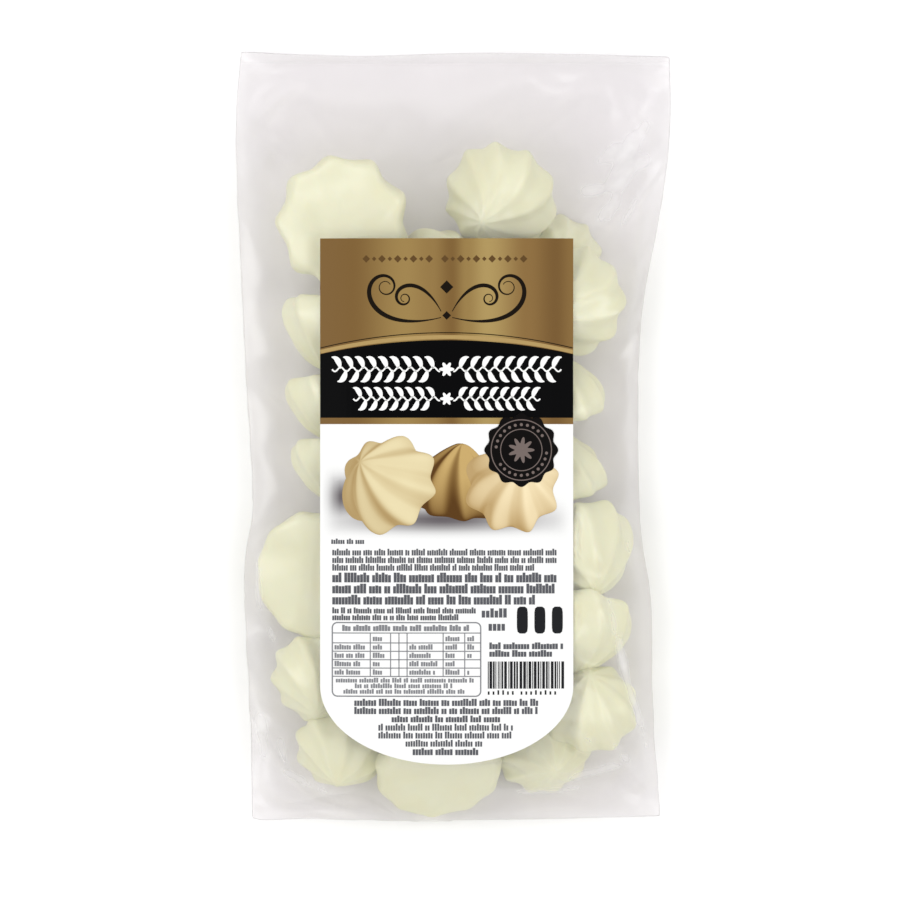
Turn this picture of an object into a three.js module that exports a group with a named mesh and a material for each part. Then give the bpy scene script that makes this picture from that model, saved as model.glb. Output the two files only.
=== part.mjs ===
// A sealed clear film bag of piped meringue cookies, lying on its back with its long label up.
// The bag is one closed solid out to the film: a flat empty header, a waist drawn in by the
// packed cookies, domes where they press on the front, and a flat back that it rests on.
// Frame: millimetres. +X across the front to the right, +Y along the bag to its header,
// +Z out of the label. The origin is under the middle of the bag, on the surface it lies on.
import * as THREE from "three";

// Bag, seen from the front
const bagLength = 304;
const sealBand = 3;
const sealThickness = 1;
const headerDip = 2; // how far the top edge dips where the header film bows
const footRise = 1.2; // how far the bottom edge lifts beside its left corner

// Distance of each side fold from the middle line, by height along the bag
const leftFold = [[-152, 79.4], [-112, 80], [-56, 82.2], [-27, 78.8], [20, 81.4], [70, 83.8], [121, 85.8], [152, 83.8]];
const rightFold = [[-152, 82.6], [-112, 80], [-66, 78.8], [-38, 74.4], [6, 73.2], [50, 74.8], [92, 82.6], [121, 86.2], [152, 86.2]];

// Bag, seen from the side
const slackHeight = 38; // front film above the back where it only bridges between cookies
const headerSealHeight = 7;
const headerWave = 1.6; // how far the header's edge waves up and down
const footSealHeight = 11;
const sideFoldHeight = 17;
const sideRun = 44; // how far in from a side fold the front reaches its full height
const footRun = 28;
const headerRun = 56;
const backRun = 30; // how far in from a fold the back touches down
const headerBackRun = 44;

// Cookies under the film, in three columns: the middle of each column and of its cookies
const cookieTop = 43.5; // highest point of a cookie under the film
const domeRadius = 27; // how round it is there
const domeBlend = 1.6; // how softly the film passes from one cookie to the next
const columns = [
  { x: -46, y: [84, 41, 14, -12, -56, -94, -119] },
  { x: 2, y: [96, 66, 36, 6, -24, -54, -84, -128] },
  { x: 49, y: [88, 58, 17, -12, -44, -76, -106] },
];
const sidePress = 0.34; // how far a cookie beside a fold pushes the film out, as a share of the inset
const sidePressReach = 11;
const labelCrown = 1.2; // how far the middle of the label stands above its sides

// Label
const labelLeft = -52.2;
const labelRight = 47.6;
const labelTop = 77.8;
const labelStraight = 176.4; // length of its straight sides
const labelRound = 31; // depth of its rounded foot
const labelThickness = 0.4;
const labelGap = 0.35;
const labelBlend = 12; // how far past the label the film stays as calm as under it

// Cells across and along each skin
const bagCells = [34, 54];
const labelCells = [12, 26];

const halfLength = bagLength / 2;
const clamp = THREE.MathUtils.clamp;
const lerp = THREE.MathUtils.lerp;
const ease = (value, from, to) => THREE.MathUtils.smoothstep(value, from, to);

// A rounded shoulder: 0 at the fold, 1 from `run` inwards, and level where it ends.
function shoulder(inset, run) {
  const left = 1 - clamp(inset / run, 0, 1);
  return 1 - left * left;
}

// The fold's distance from the middle line at height y, on a smooth curve through its points.
function foldAt(points) {
  const curve = new THREE.SplineCurve(points.map(([y, x]) => new THREE.Vector2(y, x)));
  const samples = curve.getPoints(points.length * 12);
  return (y) => {
    const next = samples.findIndex((p) => p.x >= y);
    if (next < 1) return samples[next < 0 ? samples.length - 1 : 0].y;
    const [a, b] = [samples[next - 1], samples[next]];
    return lerp(a.y, b.y, (y - a.x) / (b.x - a.x));
  };
}
const leftAt = foldAt(leftFold);
const rightAt = foldAt(rightFold);

// Height of the folds and seals, where front and back film meet.
function seamHeight(x, y) {
  const header = headerSealHeight + headerWave * Math.sin(x / 22);
  const towardsHeader = lerp(sideFoldHeight, header, ease(y, 70, halfLength));
  return lerp(footSealHeight, towardsHeader, ease(y, -halfLength, -105));
}

// 1 under the label and near it, 0 well away from it.
function nearLabel(x, y) {
  const dx = Math.max(labelLeft - x, x - labelRight, 0);
  const dy = Math.max(labelTop - labelStraight - labelRound - y, y - labelTop, 0);
  return 1 - ease(Math.hypot(dx, dy), 0, labelBlend);
}

// Height of the film over the packed cookies: the highest dome, blended softly into its neighbours.
function domes(x, y) {
  let sum = Math.exp((slackHeight - cookieTop) / domeBlend);
  for (const column of columns) {
    for (const cookieY of column.y) {
      const drop = ((x - column.x) ** 2 + (y - cookieY) ** 2) / (2 * domeRadius);
      sum += Math.exp(-drop / domeBlend);
    }
  }
  return cookieTop + domeBlend * Math.log(sum);
}

// Height under the label, which is too stiff to follow each cookie.
function labelBed(x) {
  const across = (2 * x - labelLeft - labelRight) / (labelRight - labelLeft);
  return cookieTop - labelCrown * across * across;
}

// How much further in from its fold a point seems to be, because the cookie there fills the side.
function pressed(x, y) {
  const column = x < 0 ? columns[0] : columns[columns.length - 1];
  const nearest = Math.min(...column.y.map((cookieY) => Math.abs(y - cookieY)));
  const push = Math.exp(-((nearest / sidePressReach) ** 2)) - 0.5;
  return 1 + sidePress * push * (1 - nearLabel(x, y));
}

// Distances from a point to the side fold, the header seal and the foot seal.
function insets(x, y) {
  const side = (x < 0 ? x + leftAt(y) : rightAt(y) - x) * pressed(x, y);
  return { side, header: halfLength - sealBand - y, foot: y + halfLength - sealBand };
}

// Height of the front film.
function frontHeight(x, y) {
  const { side, header, foot } = insets(x, y);
  const seam = seamHeight(x, y);
  const filled = shoulder(side, sideRun) * shoulder(foot, footRun) * shoulder(header, headerRun);
  const full = lerp(domes(x, y), labelBed(x), nearLabel(x, y));
  return seam + sealThickness / 2 + (full - seam) * filled;
}

// Height of the back film, which lies flat once it has come down from the folds.
function backHeight(x, y) {
  const { side, header, foot } = insets(x, y);
  const seam = seamHeight(x, y) - sealThickness / 2;
  const down = shoulder(side, backRun) * shoulder(foot, backRun) * shoulder(header, headerBackRun);
  return Math.max(0, seam * (1 - 1.25 * down));
}

// Spreads grid lines over -1..1, closer together towards both ends.
function spacing(step, count) {
  const even = (2 * step) / count - 1;
  return lerp(even, Math.sin((even * Math.PI) / 2), 0.55);
}

// A closed skin: a grid of front points, the matching back points, and a wall round the rim.
// pointAt(i, j) gives { x, y, front, back } for column i and row j.
function closedSkin([across, along], pointAt) {
  const positions = [];
  const index = [];
  const rowLength = across + 1;
  const count = rowLength * (along + 1);
  for (const side of ["front", "back"]) {
    for (let j = 0; j <= along; j += 1) {
      for (let i = 0; i <= across; i += 1) {
        const point = pointAt(i, j);
        positions.push(point.x, point.y, point[side]);
      }
    }
  }
  for (let j = 0; j < along; j += 1) {
    for (let i = 0; i < across; i += 1) {
      const a = j * rowLength + i;
      const [b, c, d] = [a + 1, a + rowLength + 1, a + rowLength];
      index.push(a, b, c, a, c, d);
      index.push(count + a, count + c, count + b, count + a, count + d, count + c);
    }
  }
  const rim = [];
  for (let i = 0; i < across; i += 1) rim.push(i);
  for (let j = 0; j < along; j += 1) rim.push(j * rowLength + across);
  for (let i = across; i > 0; i -= 1) rim.push(along * rowLength + i);
  for (let j = along; j > 0; j -= 1) rim.push(j * rowLength);
  rim.forEach((a, k) => {
    const b = rim[(k + 1) % rim.length];
    index.push(a, count + a, count + b, a, count + b, b);
  });
  const geometry = new THREE.BufferGeometry();
  geometry.setAttribute("position", new THREE.Float32BufferAttribute(positions, 3));
  geometry.setIndex(index);
  geometry.computeVertexNormals();
  return geometry;
}

// The whole bag, out to the film. Its top edge dips and its bottom edge lifts a little.
function bagGeometry() {
  const [across, along] = bagCells;
  return closedSkin(bagCells, (i, j) => {
    const y = halfLength * spacing(j, along);
    const u = spacing(i, across);
    const x = u < 0 ? u * leftAt(y) : u * rightAt(y);
    const dip = headerDip * Math.exp(-(((x + 41) / 34) ** 2)) * ease(y, 100, halfLength);
    const rise = footRise * Math.exp(-(((x + 57) / 20) ** 2)) * ease(-y, 130, halfLength);
    return { x, y: y - dip + rise, front: frontHeight(x, y), back: backHeight(x, y) };
  });
}

// The label, laid on the front film: square at the top, with a half-oval foot.
function labelGeometry() {
  const [across, along] = labelCells;
  const footRows = Math.round(along / 3);
  const straightRows = along - footRows;
  const middle = (labelLeft + labelRight) / 2;
  const halfWidth = (labelRight - labelLeft) / 2;
  const footTurn = THREE.MathUtils.degToRad(86);
  return closedSkin(labelCells, (i, j) => {
    const turn = footTurn * Math.max(0, 1 - j / footRows);
    const straight = Math.max(0, j - footRows) / straightRows;
    const y = labelTop - labelStraight * (1 - straight) - labelRound * Math.sin(turn);
    const x = middle + halfWidth * Math.cos(turn) * spacing(i, across);
    const back = frontHeight(x, y) + labelGap;
    return { x, y, front: back + labelThickness, back };
  });
}

function namedMesh(name, geometry, look) {
  const mesh = new THREE.Mesh(geometry, new THREE.MeshStandardMaterial(look));
  mesh.name = name;
  return mesh;
}

const filmLook = { color: 0xe9e7e2, roughness: 0.25, metalness: 0, transparent: true, opacity: 0.4 };
const labelLook = { color: 0xf7f6f4, roughness: 0.35, metalness: 0 };

const pack = new THREE.Group();
pack.add(namedMesh("bag", bagGeometry(), filmLook));
pack.add(namedMesh("label", labelGeometry(), labelLook));

export default pack;
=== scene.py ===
"""Looks of a sealed clear film bag of piped meringue cookies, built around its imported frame.

The bag lies on its back. +X runs across its label, +Y along it to the empty header and +Z up out of
the label. Sizes are in metres, most of them written as millimetres times MM.
"""

from __future__ import annotations

import logging
import math
import random
from collections.abc import Callable, Sequence
from dataclasses import dataclass, field
from enum import Enum
from itertools import pairwise

import bmesh
import bpy
import numpy as np
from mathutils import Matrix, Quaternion, Vector, noise
from mathutils.bvhtree import BVHTree


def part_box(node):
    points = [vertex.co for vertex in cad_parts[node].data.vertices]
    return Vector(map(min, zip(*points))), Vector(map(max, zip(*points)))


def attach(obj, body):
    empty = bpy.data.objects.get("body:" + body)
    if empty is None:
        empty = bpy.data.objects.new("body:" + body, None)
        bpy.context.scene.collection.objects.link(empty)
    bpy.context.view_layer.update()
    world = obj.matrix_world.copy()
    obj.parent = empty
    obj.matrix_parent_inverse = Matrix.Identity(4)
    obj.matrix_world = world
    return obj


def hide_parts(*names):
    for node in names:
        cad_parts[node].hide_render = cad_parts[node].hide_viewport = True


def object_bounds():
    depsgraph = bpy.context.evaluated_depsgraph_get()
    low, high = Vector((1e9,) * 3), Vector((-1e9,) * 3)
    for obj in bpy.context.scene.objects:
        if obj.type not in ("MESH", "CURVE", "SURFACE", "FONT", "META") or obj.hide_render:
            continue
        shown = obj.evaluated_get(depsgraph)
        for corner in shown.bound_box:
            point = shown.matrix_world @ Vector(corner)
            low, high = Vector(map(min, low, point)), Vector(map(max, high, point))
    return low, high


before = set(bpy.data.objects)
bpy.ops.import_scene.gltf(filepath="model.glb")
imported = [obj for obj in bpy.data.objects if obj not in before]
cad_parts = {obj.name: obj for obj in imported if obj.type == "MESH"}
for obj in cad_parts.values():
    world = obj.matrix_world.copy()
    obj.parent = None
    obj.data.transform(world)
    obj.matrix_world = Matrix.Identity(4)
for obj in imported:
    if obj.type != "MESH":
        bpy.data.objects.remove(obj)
CAD_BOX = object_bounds()

MM = 0.001
TINY = 1e-9
PLACE_DECIMALS = 7
MOST_HOLLOW = 8
HOLLOW_LENGTH = 20 * MM
BODY = "root"
LOG = logging.getLogger("meringue_bag")

# Vector noise takes its seed from the clock unless it is given one.
NOISE_SEED = 5
noise.seed_set(NOISE_SEED)


# ---------------------------------------------------------------------------------------------
# Small tools for working on meshes
# ---------------------------------------------------------------------------------------------


def deselect_all() -> None:
    """Leaves edit mode and selects nothing, so that the next operator acts on its own piece only."""
    if bpy.context.object is not None and bpy.context.object.mode != "OBJECT":
        bpy.ops.object.mode_set(mode="OBJECT")
    for ob in list(bpy.context.selected_objects):
        ob.select_set(False)


def make_active(ob: bpy.types.Object) -> None:
    """Selects one object alone and makes it the active one."""
    deselect_all()
    bpy.context.view_layer.objects.active = ob
    ob.select_set(True)


def select_vertices(ob: bpy.types.Object, wanted: callable) -> int:
    """Selects the vertices of the edited mesh that a test picks out.

    Args:
        ob: The object, in edit mode with vertex selection.
        wanted: Takes a vertex's place and says whether it is selected.

    Returns:
        How many vertices are selected.
    """
    mesh = bmesh.from_edit_mesh(ob.data)
    for vertex in mesh.verts:
        vertex.select = bool(wanted(vertex.co))
    mesh.select_flush_mode()
    bmesh.update_edit_mesh(ob.data)
    return sum(vertex.select for vertex in mesh.verts)


def coordinates(ob: bpy.types.Object) -> np.ndarray:
    """Gives an object's vertices as an array of one row each."""
    flat = np.empty(len(ob.data.vertices) * 3)
    ob.data.vertices.foreach_get("co", flat)
    return flat.reshape(-1, 3)


def move_vertices(ob: bpy.types.Object, places: np.ndarray) -> None:
    """Puts an object's vertices at new places."""
    ob.data.vertices.foreach_set("co", places.reshape(-1))
    ob.data.update()


def apply_modifier(ob: bpy.types.Object, kind: str, **settings: object) -> None:
    """Adds a modifier, sets it and applies it.

    Args:
        ob: The object to change.
        kind: The modifier's type, such as SUBSURF.
        settings: The modifier's own properties.
    """
    make_active(ob)
    bpy.ops.object.modifier_add(type=kind)
    modifier = ob.modifiers[-1]
    for name, value in settings.items():
        setattr(modifier, name, value)
    bpy.ops.object.modifier_apply(modifier=modifier.name)


def shade_smooth(ob: bpy.types.Object) -> None:
    """Smooths an object's shading all over."""
    make_active(ob)
    bpy.ops.object.shade_smooth()


def copied(ob: bpy.types.Object, name: str) -> bpy.types.Object:
    """Gives a copy of an object with its own mesh and a new name."""
    twin = ob.copy()
    twin.data = ob.data.copy()
    twin.name = name
    bpy.context.scene.collection.objects.link(twin)
    return twin


def hollows(ob: bpy.types.Object, radius: float) -> np.ndarray:
    """Finds how hollow a mesh is at each of its points.

    Args:
        ob: The mesh.
        radius: A length that its bends are compared with.

    Returns:
        The radius over each hollow's own, from 0 where the mesh is flat or round, to MOST_HOLLOW.
    """
    points = coordinates(ob)
    normals = np.empty(points.size)
    ob.data.vertices.foreach_get("normal", normals)
    ends = np.empty(2 * len(ob.data.edges), dtype=int)
    ob.data.edges.foreach_get("vertices", ends)
    a, b = np.concatenate((ends[0::2], ends[1::2])), np.concatenate((ends[1::2], ends[0::2]))
    count = np.bincount(a, minlength=len(points))
    away = points[b] - points[a]
    rise = (away * normals.reshape(-1, 3)[a]).sum(1)
    squares = np.bincount(a, (away**2).sum(1), minlength=len(points))
    bends = 2 * radius * np.bincount(a, rise, minlength=len(points)) / squares
    for _ in range(3):
        bends = np.bincount(a, bends[b], minlength=len(points)) / count
    return np.clip(bends, 0, MOST_HOLLOW)


def in_fixed_order(ob: bpy.types.Object) -> None:
    """Sorts a mesh's points and faces by place, so that every run rounds them the same.

    Args:
        ob: The mesh, whose points editing has left in no fixed order.
    """
    points = np.round(coordinates(ob), PLACE_DECIMALS) + 0.0
    order = np.lexsort(points.T)
    rank = np.empty(len(order), dtype=int)
    rank[order] = np.arange(len(order))
    faces = []
    for polygon in ob.data.polygons:
        corners = [int(rank[vertex]) for vertex in polygon.vertices]
        first = corners.index(min(corners))
        faces.append(tuple(corners[first:] + corners[:first]))
    ob.data.clear_geometry()
    ob.data.from_pydata(points[order].tolist(), [], sorted(faces))
    ob.data.update(calc_edges=True)


class Relief:
    """Rays against some meshes, for reading how high or low they lie."""

    def __init__(self, *objects: bpy.types.Object) -> None:
        """Gathers the faces of the objects into one tree."""
        places, faces = [], []
        for ob in objects:
            first = len(places)
            places += [vertex.co.copy() for vertex in ob.data.vertices]
            faces += [[first + index for index in face.vertices] for face in ob.data.polygons]
        self.tree = BVHTree.FromPolygons(places, faces)

    def heights(self, xs: np.ndarray, ys: np.ndarray, from_above: bool) -> np.ndarray:
        """Reads the surface's height at some points.

        Args:
            xs: X of each point.
            ys: Y of each point.
            from_above: Whether to look down from above or up from below.

        Returns:
            The height at each point, and nan where there is nothing.
        """
        start, way = (1.0, Vector((0, 0, -1))) if from_above else (-1.0, Vector((0, 0, 1)))
        found = np.full(xs.size, np.nan)
        for index, (x, y) in enumerate(zip(xs.flat, ys.flat)):
            hit = self.tree.ray_cast(Vector((x, y, start)), way)[0]
            if hit is not None:
                found[index] = hit.z
        return found.reshape(xs.shape)


# ---------------------------------------------------------------------------------------------
# Meringues
# ---------------------------------------------------------------------------------------------


@dataclass(frozen=True)
class Swirl:
    """One piped kiss: ridges from a star nozzle, drawn up and round into a soft point."""

    lobes: int = 9
    radius: float = 23 * MM
    height: float = 27.5 * MM
    groove: float = 0.85
    flank: float = 0.9
    twist: float = math.radians(26)
    foot_hollow: float = 0.8 * MM
    profile: tuple[tuple[float, float], ...] = (
        (0.0, 0.88),
        (0.05, 0.97),
        (0.2, 1.0),
        (0.4, 0.92),
        (0.58, 0.76),
        (0.74, 0.55),
        (0.87, 0.33),
        (0.955, 0.17),
    )

    def build(self, name: str) -> bpy.types.Object:
        """Pipes the kiss upwards from its foot.

        Args:
            name: The new object's name.

        Returns:
            The kiss, standing on the origin with its point up.
        """
        deselect_all()
        foot = self.profile[0][1]
        bpy.ops.mesh.primitive_circle_add(vertices=4 * self.lobes, radius=self.radius * foot)
        ob = bpy.context.object
        ob.name = name
        bpy.ops.object.mode_set(mode="EDIT")
        bpy.ops.mesh.select_mode(type="VERT")
        self._press_grooves(ob)
        bpy.ops.mesh.select_all(action="SELECT")
        for (low, narrow), (high, wide) in pairwise(self.profile):
            rise = (high - low) * self.height
            bpy.ops.mesh.extrude_region_move(TRANSFORM_OT_translate={"value": (0, 0, rise)})
            share = wide / narrow
            centre = (0, 0, high * self.height)
            bpy.ops.transform.resize(value=(share, share, 1), center_override=centre)
            turn = self.twist * (high - low)
            bpy.ops.transform.rotate(value=turn, orient_axis="Z", center_override=centre)
        self._close(self.height * (1 - self.profile[-1][0]))
        self._close_foot(ob)
        bpy.ops.object.mode_set(mode="OBJECT")
        in_fixed_order(ob)
        apply_modifier(ob, "SUBSURF", levels=2, render_levels=2)
        shade_smooth(ob)
        return ob

    def _press_grooves(self, ob: bpy.types.Object) -> None:
        """Draws every groove of the star in towards the middle."""
        step = math.tau / self.lobes
        for offset, share in ((0.5, self.groove), (0.25, self.flank), (0.75, self.flank)):

            def on_line(place: Vector, offset: float = offset) -> bool:
                """Tells whether a point lies on this line of every lobe."""
                turned = math.atan2(place.y, place.x) / step % 1.0
                return abs(turned - offset) < 0.06

            select_vertices(ob, on_line)
            bpy.ops.transform.resize(value=(share, share, 1), center_override=(0, 0, 0))

    def _close(self, rise: float) -> None:
        """Draws the selected ring up and together into the point."""
        bpy.ops.mesh.extrude_region_move(TRANSFORM_OT_translate={"value": (0, 0, rise)})
        bpy.ops.mesh.merge(type="CENTER")

    def _close_foot(self, ob: bpy.types.Object) -> None:
        """Closes the foot with a slightly hollow floor."""
        select_vertices(ob, lambda place: place.z < 0.01 * MM)
        for share in (0.93, 0.5):
            bpy.ops.mesh.extrude_region_move(TRANSFORM_OT_translate={"value": (0, 0, 0)})
            bpy.ops.transform.resize(value=(share, share, 1), center_override=(0, 0, 0))
        hollow = (0, 0, self.foot_hollow)
        bpy.ops.mesh.extrude_region_move(TRANSFORM_OT_translate={"value": hollow})
        bpy.ops.mesh.merge(type="CENTER")
        bpy.ops.mesh.select_all(action="SELECT")
        bpy.ops.mesh.normals_make_consistent(inside=False)


@dataclass
class Place:
    """Where one kiss lies: its middle in millimetres, where its point leans, and its size.

    `towards` is the compass direction of the point seen from the front, in degrees from +X, and
    `lift` how far it rises out of the bag's plane: 90 faces the viewer and -90 shows the foot.
    `give` is how many millimetres it may press outwards into the film, and `kind` picks how it
    was piped, where that is told.
    """

    x: float
    y: float
    towards: float
    lift: float
    size: float = 1.0
    z: float = 22.0
    give: float = 0.0
    kind: int | None = None


SHOWING = (
    Place(-45.0, 85.5, 100, -88, 1.26, 26),
    Place(17.0, 86.0, -112, 56, 1.1, 28),
    Place(2.2, 69.0, 60, 60, 1.02, 15),
    Place(37, 71.0, 60, 70, 0.8, 10, 0),
    Place(51.0, 54.0, 172, 46, 1.06, 30, 5),
    Place(-51, 42, -95, 8, 0.98, 22, 1),
    Place(-47.5, 12.5, -88, 4, 0.92, 22, 1),
    Place(-46, -14.5, -95, 8, 0.9, 22),
    Place(43.5, 17, 100, 10, 0.9, 22),
    Place(42, -12, 95, 14, 0.9, 23),
    Place(-50.5, -54.5, 10, -66, 1.2, 26, 1, kind=3),
    Place(56, -48.0, -72, 36, 1.08, 25, 4),
    Place(50.5, -79.5, -95, 20, 1.02, 22, 3),
    Place(-51.5, -102, 262, 46, 0.98, 20, 1),
    Place(54.5, -110, 118, 44, 0.95, 28, 3),
    Place(-43.2, -126.0, 250, 44, 0.89, 22, 3),
    Place(40, -125.0, -70, 44, 0.92, 17, 4),
    Place(-8.5, -125.2, 90, -42, 1.18, 18, 7, kind=3),
)

UNDER_LABEL = (
    Place(4, 34, -80, 10, 0.92),
    Place(-2, 5, 95, 8, 0.92),
    Place(-2, -25, -88, 5, 0.92),
    Place(0, -53, 100, 12, 0.92),
    Place(-4, -86, -80, 20, 0.94),
)


@dataclass
class CookieFill:
    """The kisses in the bag: placed as listed, settled against each other, each its own piece."""

    clearance: float = 0.8 * MM
    rounds: int = 280
    hold: float = 0.022
    hold_turn: float = 0.08
    weight: float = 0.02 * MM
    least_height: float = 0.6 * MM
    under_label: float = 0.7 * MM
    past_edge: float = 2.5 * MM
    coarse_pitch: int = 62
    coarse_depth: float = 1.2
    fine_pitch: int = 190
    fine_depth: float = 0.35
    seed: int = 7
    kinds: tuple[Swirl, ...] = (
        Swirl(),
        Swirl(lobes=10, groove=0.86, flank=0.905, twist=math.radians(34), height=26 * MM),
        Swirl(lobes=9, groove=0.83, flank=0.885, twist=math.radians(14), height=28 * MM),
        Swirl(lobes=11, groove=0.94, flank=0.965, twist=math.radians(20), height=26 * MM),
    )
    pieces: list[bpy.types.Object] = field(default_factory=list)

    def build(self, container: bpy.types.Object, label: bpy.types.Object) -> None:
        """Makes the kisses and settles them inside the bag.

        Args:
            container: The frame's solid that holds them.
            label: The frame's label, which they stay under.
        """
        lid = Relief(label)
        places = SHOWING + UNDER_LABEL
        masters = [kind.build(f"kiss_kind_{index}") for index, kind in enumerate(self.kinds)]
        middles, turns = self._settle(places, container)
        rng = random.Random(self.seed)
        for index, place in enumerate(places):
            kind = index % 3 if place.kind is None else place.kind
            ob = copied(masters[kind], f"meringue_{index + 1:02d}")
            self._shape(ob, place, rng)
            points = coordinates(ob) @ turns[index].T + middles[index]
            self._keep_under(lid, points)
            move_vertices(ob, points)
            self.pieces.append(ob)
        for master in masters:
            bpy.data.objects.remove(master)

    def _keep_under(self, lid: Relief, points: np.ndarray) -> None:
        """Shifts one kiss clear of the floor, then lowers what reaches the label or its edge."""
        points[:, 2] += max(0.0, self.least_height - points[:, 2].min())
        x, y = points[:, 0], points[:, 1]
        nudges = [(0, 0)] + [(sign * self.past_edge, 0) for sign in (-1, 1)]
        nudges += [(0, sign * self.past_edge) for sign in (-1, 1)]
        heights = [lid.heights(x + dx, y + dy, from_above=False) for dx, dy in nudges]
        limit = np.fmin.reduce(heights) - self.under_label
        over = np.nan_to_num(points[:, 2] - limit, nan=-1.0)
        points[:, 2] -= min(max(0.0, over.max()), points[:, 2].min() - self.least_height)
        points[:, 2] = np.fmin(points[:, 2], limit)

    def _shape(self, ob: bpy.types.Object, place: Place, rng: random.Random) -> None:
        """Makes one copy uneven, as no two kisses are piped alike."""
        points = coordinates(ob)
        points[:, 2] -= MIDDLE_SHARE * Swirl.height
        stretch = [place.size * rng.uniform(0.965, 1.035) for _ in range(3)]
        points *= stretch
        lean = [rng.uniform(-0.1, 0.1) for _ in range(2)]
        above = np.clip(points[:, 2] / Swirl.height, 0, 1)
        points[:, 0] += lean[0] * above * points[:, 2]
        points[:, 1] += lean[1] * above * points[:, 2]
        offset = Vector([rng.uniform(-50, 50) for _ in range(3)])
        coarse = [noise.noise_vector(Vector(p) * self.coarse_pitch + offset) for p in points]
        fine = [noise.noise_vector(Vector(p) * self.fine_pitch + offset) for p in points]
        points += np.array(coarse) * self.coarse_depth * MM + np.array(fine) * self.fine_depth * MM
        move_vertices(ob, points)

    def _settle(
        self, places: tuple[Place, ...], container: bpy.types.Object
    ) -> tuple[np.ndarray, np.ndarray]:
        """Pushes the kisses apart and into the bag, each as a rigid cluster of balls.

        Args:
            places: Where each kiss should lie.
            container: The closed solid that they stay inside.

        Returns:
            The middle and the turn, as a matrix, of each kiss.
        """
        centres, radii = kiss_balls()
        rng = random.Random(self.seed + 1)
        sizes = np.array([place.size for place in places])
        middles = np.array([(place.x, place.y, place.z) for place in places]) * MM
        turns = np.array([place_turn(place, rng.uniform(0, math.tau)) for place in places])
        local = centres[None] * sizes[:, None, None]
        reach = radii[None] * sizes[:, None]
        wanted, leans = middles.copy(), turns.copy()
        count, balls = reach.shape
        owner = np.repeat(np.arange(count), balls)
        apart = owner[:, None] != owner[None]
        need = (reach.reshape(-1)[:, None] + reach.reshape(-1)[None]) * apart
        wall = Relief(container).tree
        give = np.repeat([place.give * MM for place in places], balls)
        for _ in range(self.rounds):
            world = np.einsum("nij,nbj->nbi", turns, local) + middles[:, None]
            flat = world.reshape(-1, 3)
            gap = flat[:, None] - flat[None]
            distance = np.linalg.norm(gap, axis=2) + TINY
            press = np.clip(need - distance, 0, None)
            shift = (gap / distance[..., None] * press[..., None]).sum(1) * 0.5
            shift += self._into(wall, flat, reach.reshape(-1) - give)
            target = (flat + shift).reshape(count, balls, 3)
            meant = np.einsum("nij,nbj->nbi", leans, local) + middles[:, None]
            target += self.hold_turn * (meant - world)
            middles, turns = best_fit(local, target)
            middles[:, :2] += self.hold * (wanted - middles)[:, :2]
            middles[:, 2] -= self.weight
        return middles, turns

    def _into(self, wall: BVHTree, points: np.ndarray, reach: np.ndarray) -> np.ndarray:
        """Gives the push that keeps each ball inside the bag's wall."""
        push = np.zeros_like(points)
        for index, point in enumerate(points):
            place = Vector(point)
            near, normal, _face, distance = wall.find_nearest(place)
            inside = (place - near).dot(normal) < 0
            depth = distance if inside else -distance
            short = reach[index] + self.clearance - depth
            if short > 0:
                push[index] = -np.array(normal) * min(short, 2 * MM)
        return push

    def dress(self, finish: "Coating") -> None:
        """Gives every kiss its coating and its place in the frame, and stores how hollow it is at each point,
        which paints shade into its grooves.
        """
        for ob in self.pieces:
            # Painted shade: the stored hollowness darkens the coating in the grooves.
            stored = ob.data.attributes.new("hollow", "FLOAT", "POINT")
            stored.data.foreach_set("value", hollows(ob, HOLLOW_LENGTH) / MOST_HOLLOW)
            ob.data.materials.append(finish.material())
            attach(ob, BODY)


MIDDLE_SHARE = 0.4


def kiss_balls() -> tuple[np.ndarray, np.ndarray]:
    """Gives the balls that stand for a kiss of size 1: their centres from its middle, and radii."""
    rings = (
        (8, 16.2, 6.6, 6.8),
        (6, 10.2, 12.4, 7.4),
        (1, 0.0, 7.5, 7.5),
        (1, 0.0, 18.0, 7.4),
        (1, 0.0, 24.2, 3.8),
    )
    centres, radii = [], []
    for count, ring, height, radius in rings:
        for index in range(count):
            angle = math.tau * index / count
            centres.append((ring * math.cos(angle), ring * math.sin(angle), height))
            radii.append(radius)
    centres = np.array(centres) * MM
    centres[:, 2] -= MIDDLE_SHARE * Swirl.height
    return centres, np.array(radii) * MM


def place_turn(place: Place, spin: float) -> np.ndarray:
    """Gives the matrix that leans a standing kiss as its place says, after a spin on its axis."""
    towards, lift = math.radians(place.towards), math.radians(place.lift)
    flat = math.cos(lift)
    point = Vector((flat * math.cos(towards), flat * math.sin(towards), math.sin(lift)))
    lean = Vector((0, 0, 1)).rotation_difference(point)
    return np.array((lean @ Quaternion((0, 0, 1), spin)).to_matrix())


def best_fit(local: np.ndarray, target: np.ndarray) -> tuple[np.ndarray, np.ndarray]:
    """Finds the rigid move that best takes each cluster of balls to its target.

    Args:
        local: The balls' centres in each piece's own frame.
        target: Where they should be.

    Returns:
        The middle and the turn of each piece.
    """
    local_mean = local.mean(1, keepdims=True)
    target_mean = target.mean(1, keepdims=True)
    spread = np.einsum("nbi,nbj->nij", target - target_mean, local - local_mean)
    left, _sizes, right = np.linalg.svd(spread)
    flip = np.sign(np.linalg.det(left @ right))
    left[:, :, 2] *= flip[:, None]
    turns = left @ right
    middles = (target_mean - np.einsum("nij,nbj->nbi", turns, local_mean))[:, 0]
    return middles, turns


# ---------------------------------------------------------------------------------------------
# Film
# ---------------------------------------------------------------------------------------------


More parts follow.
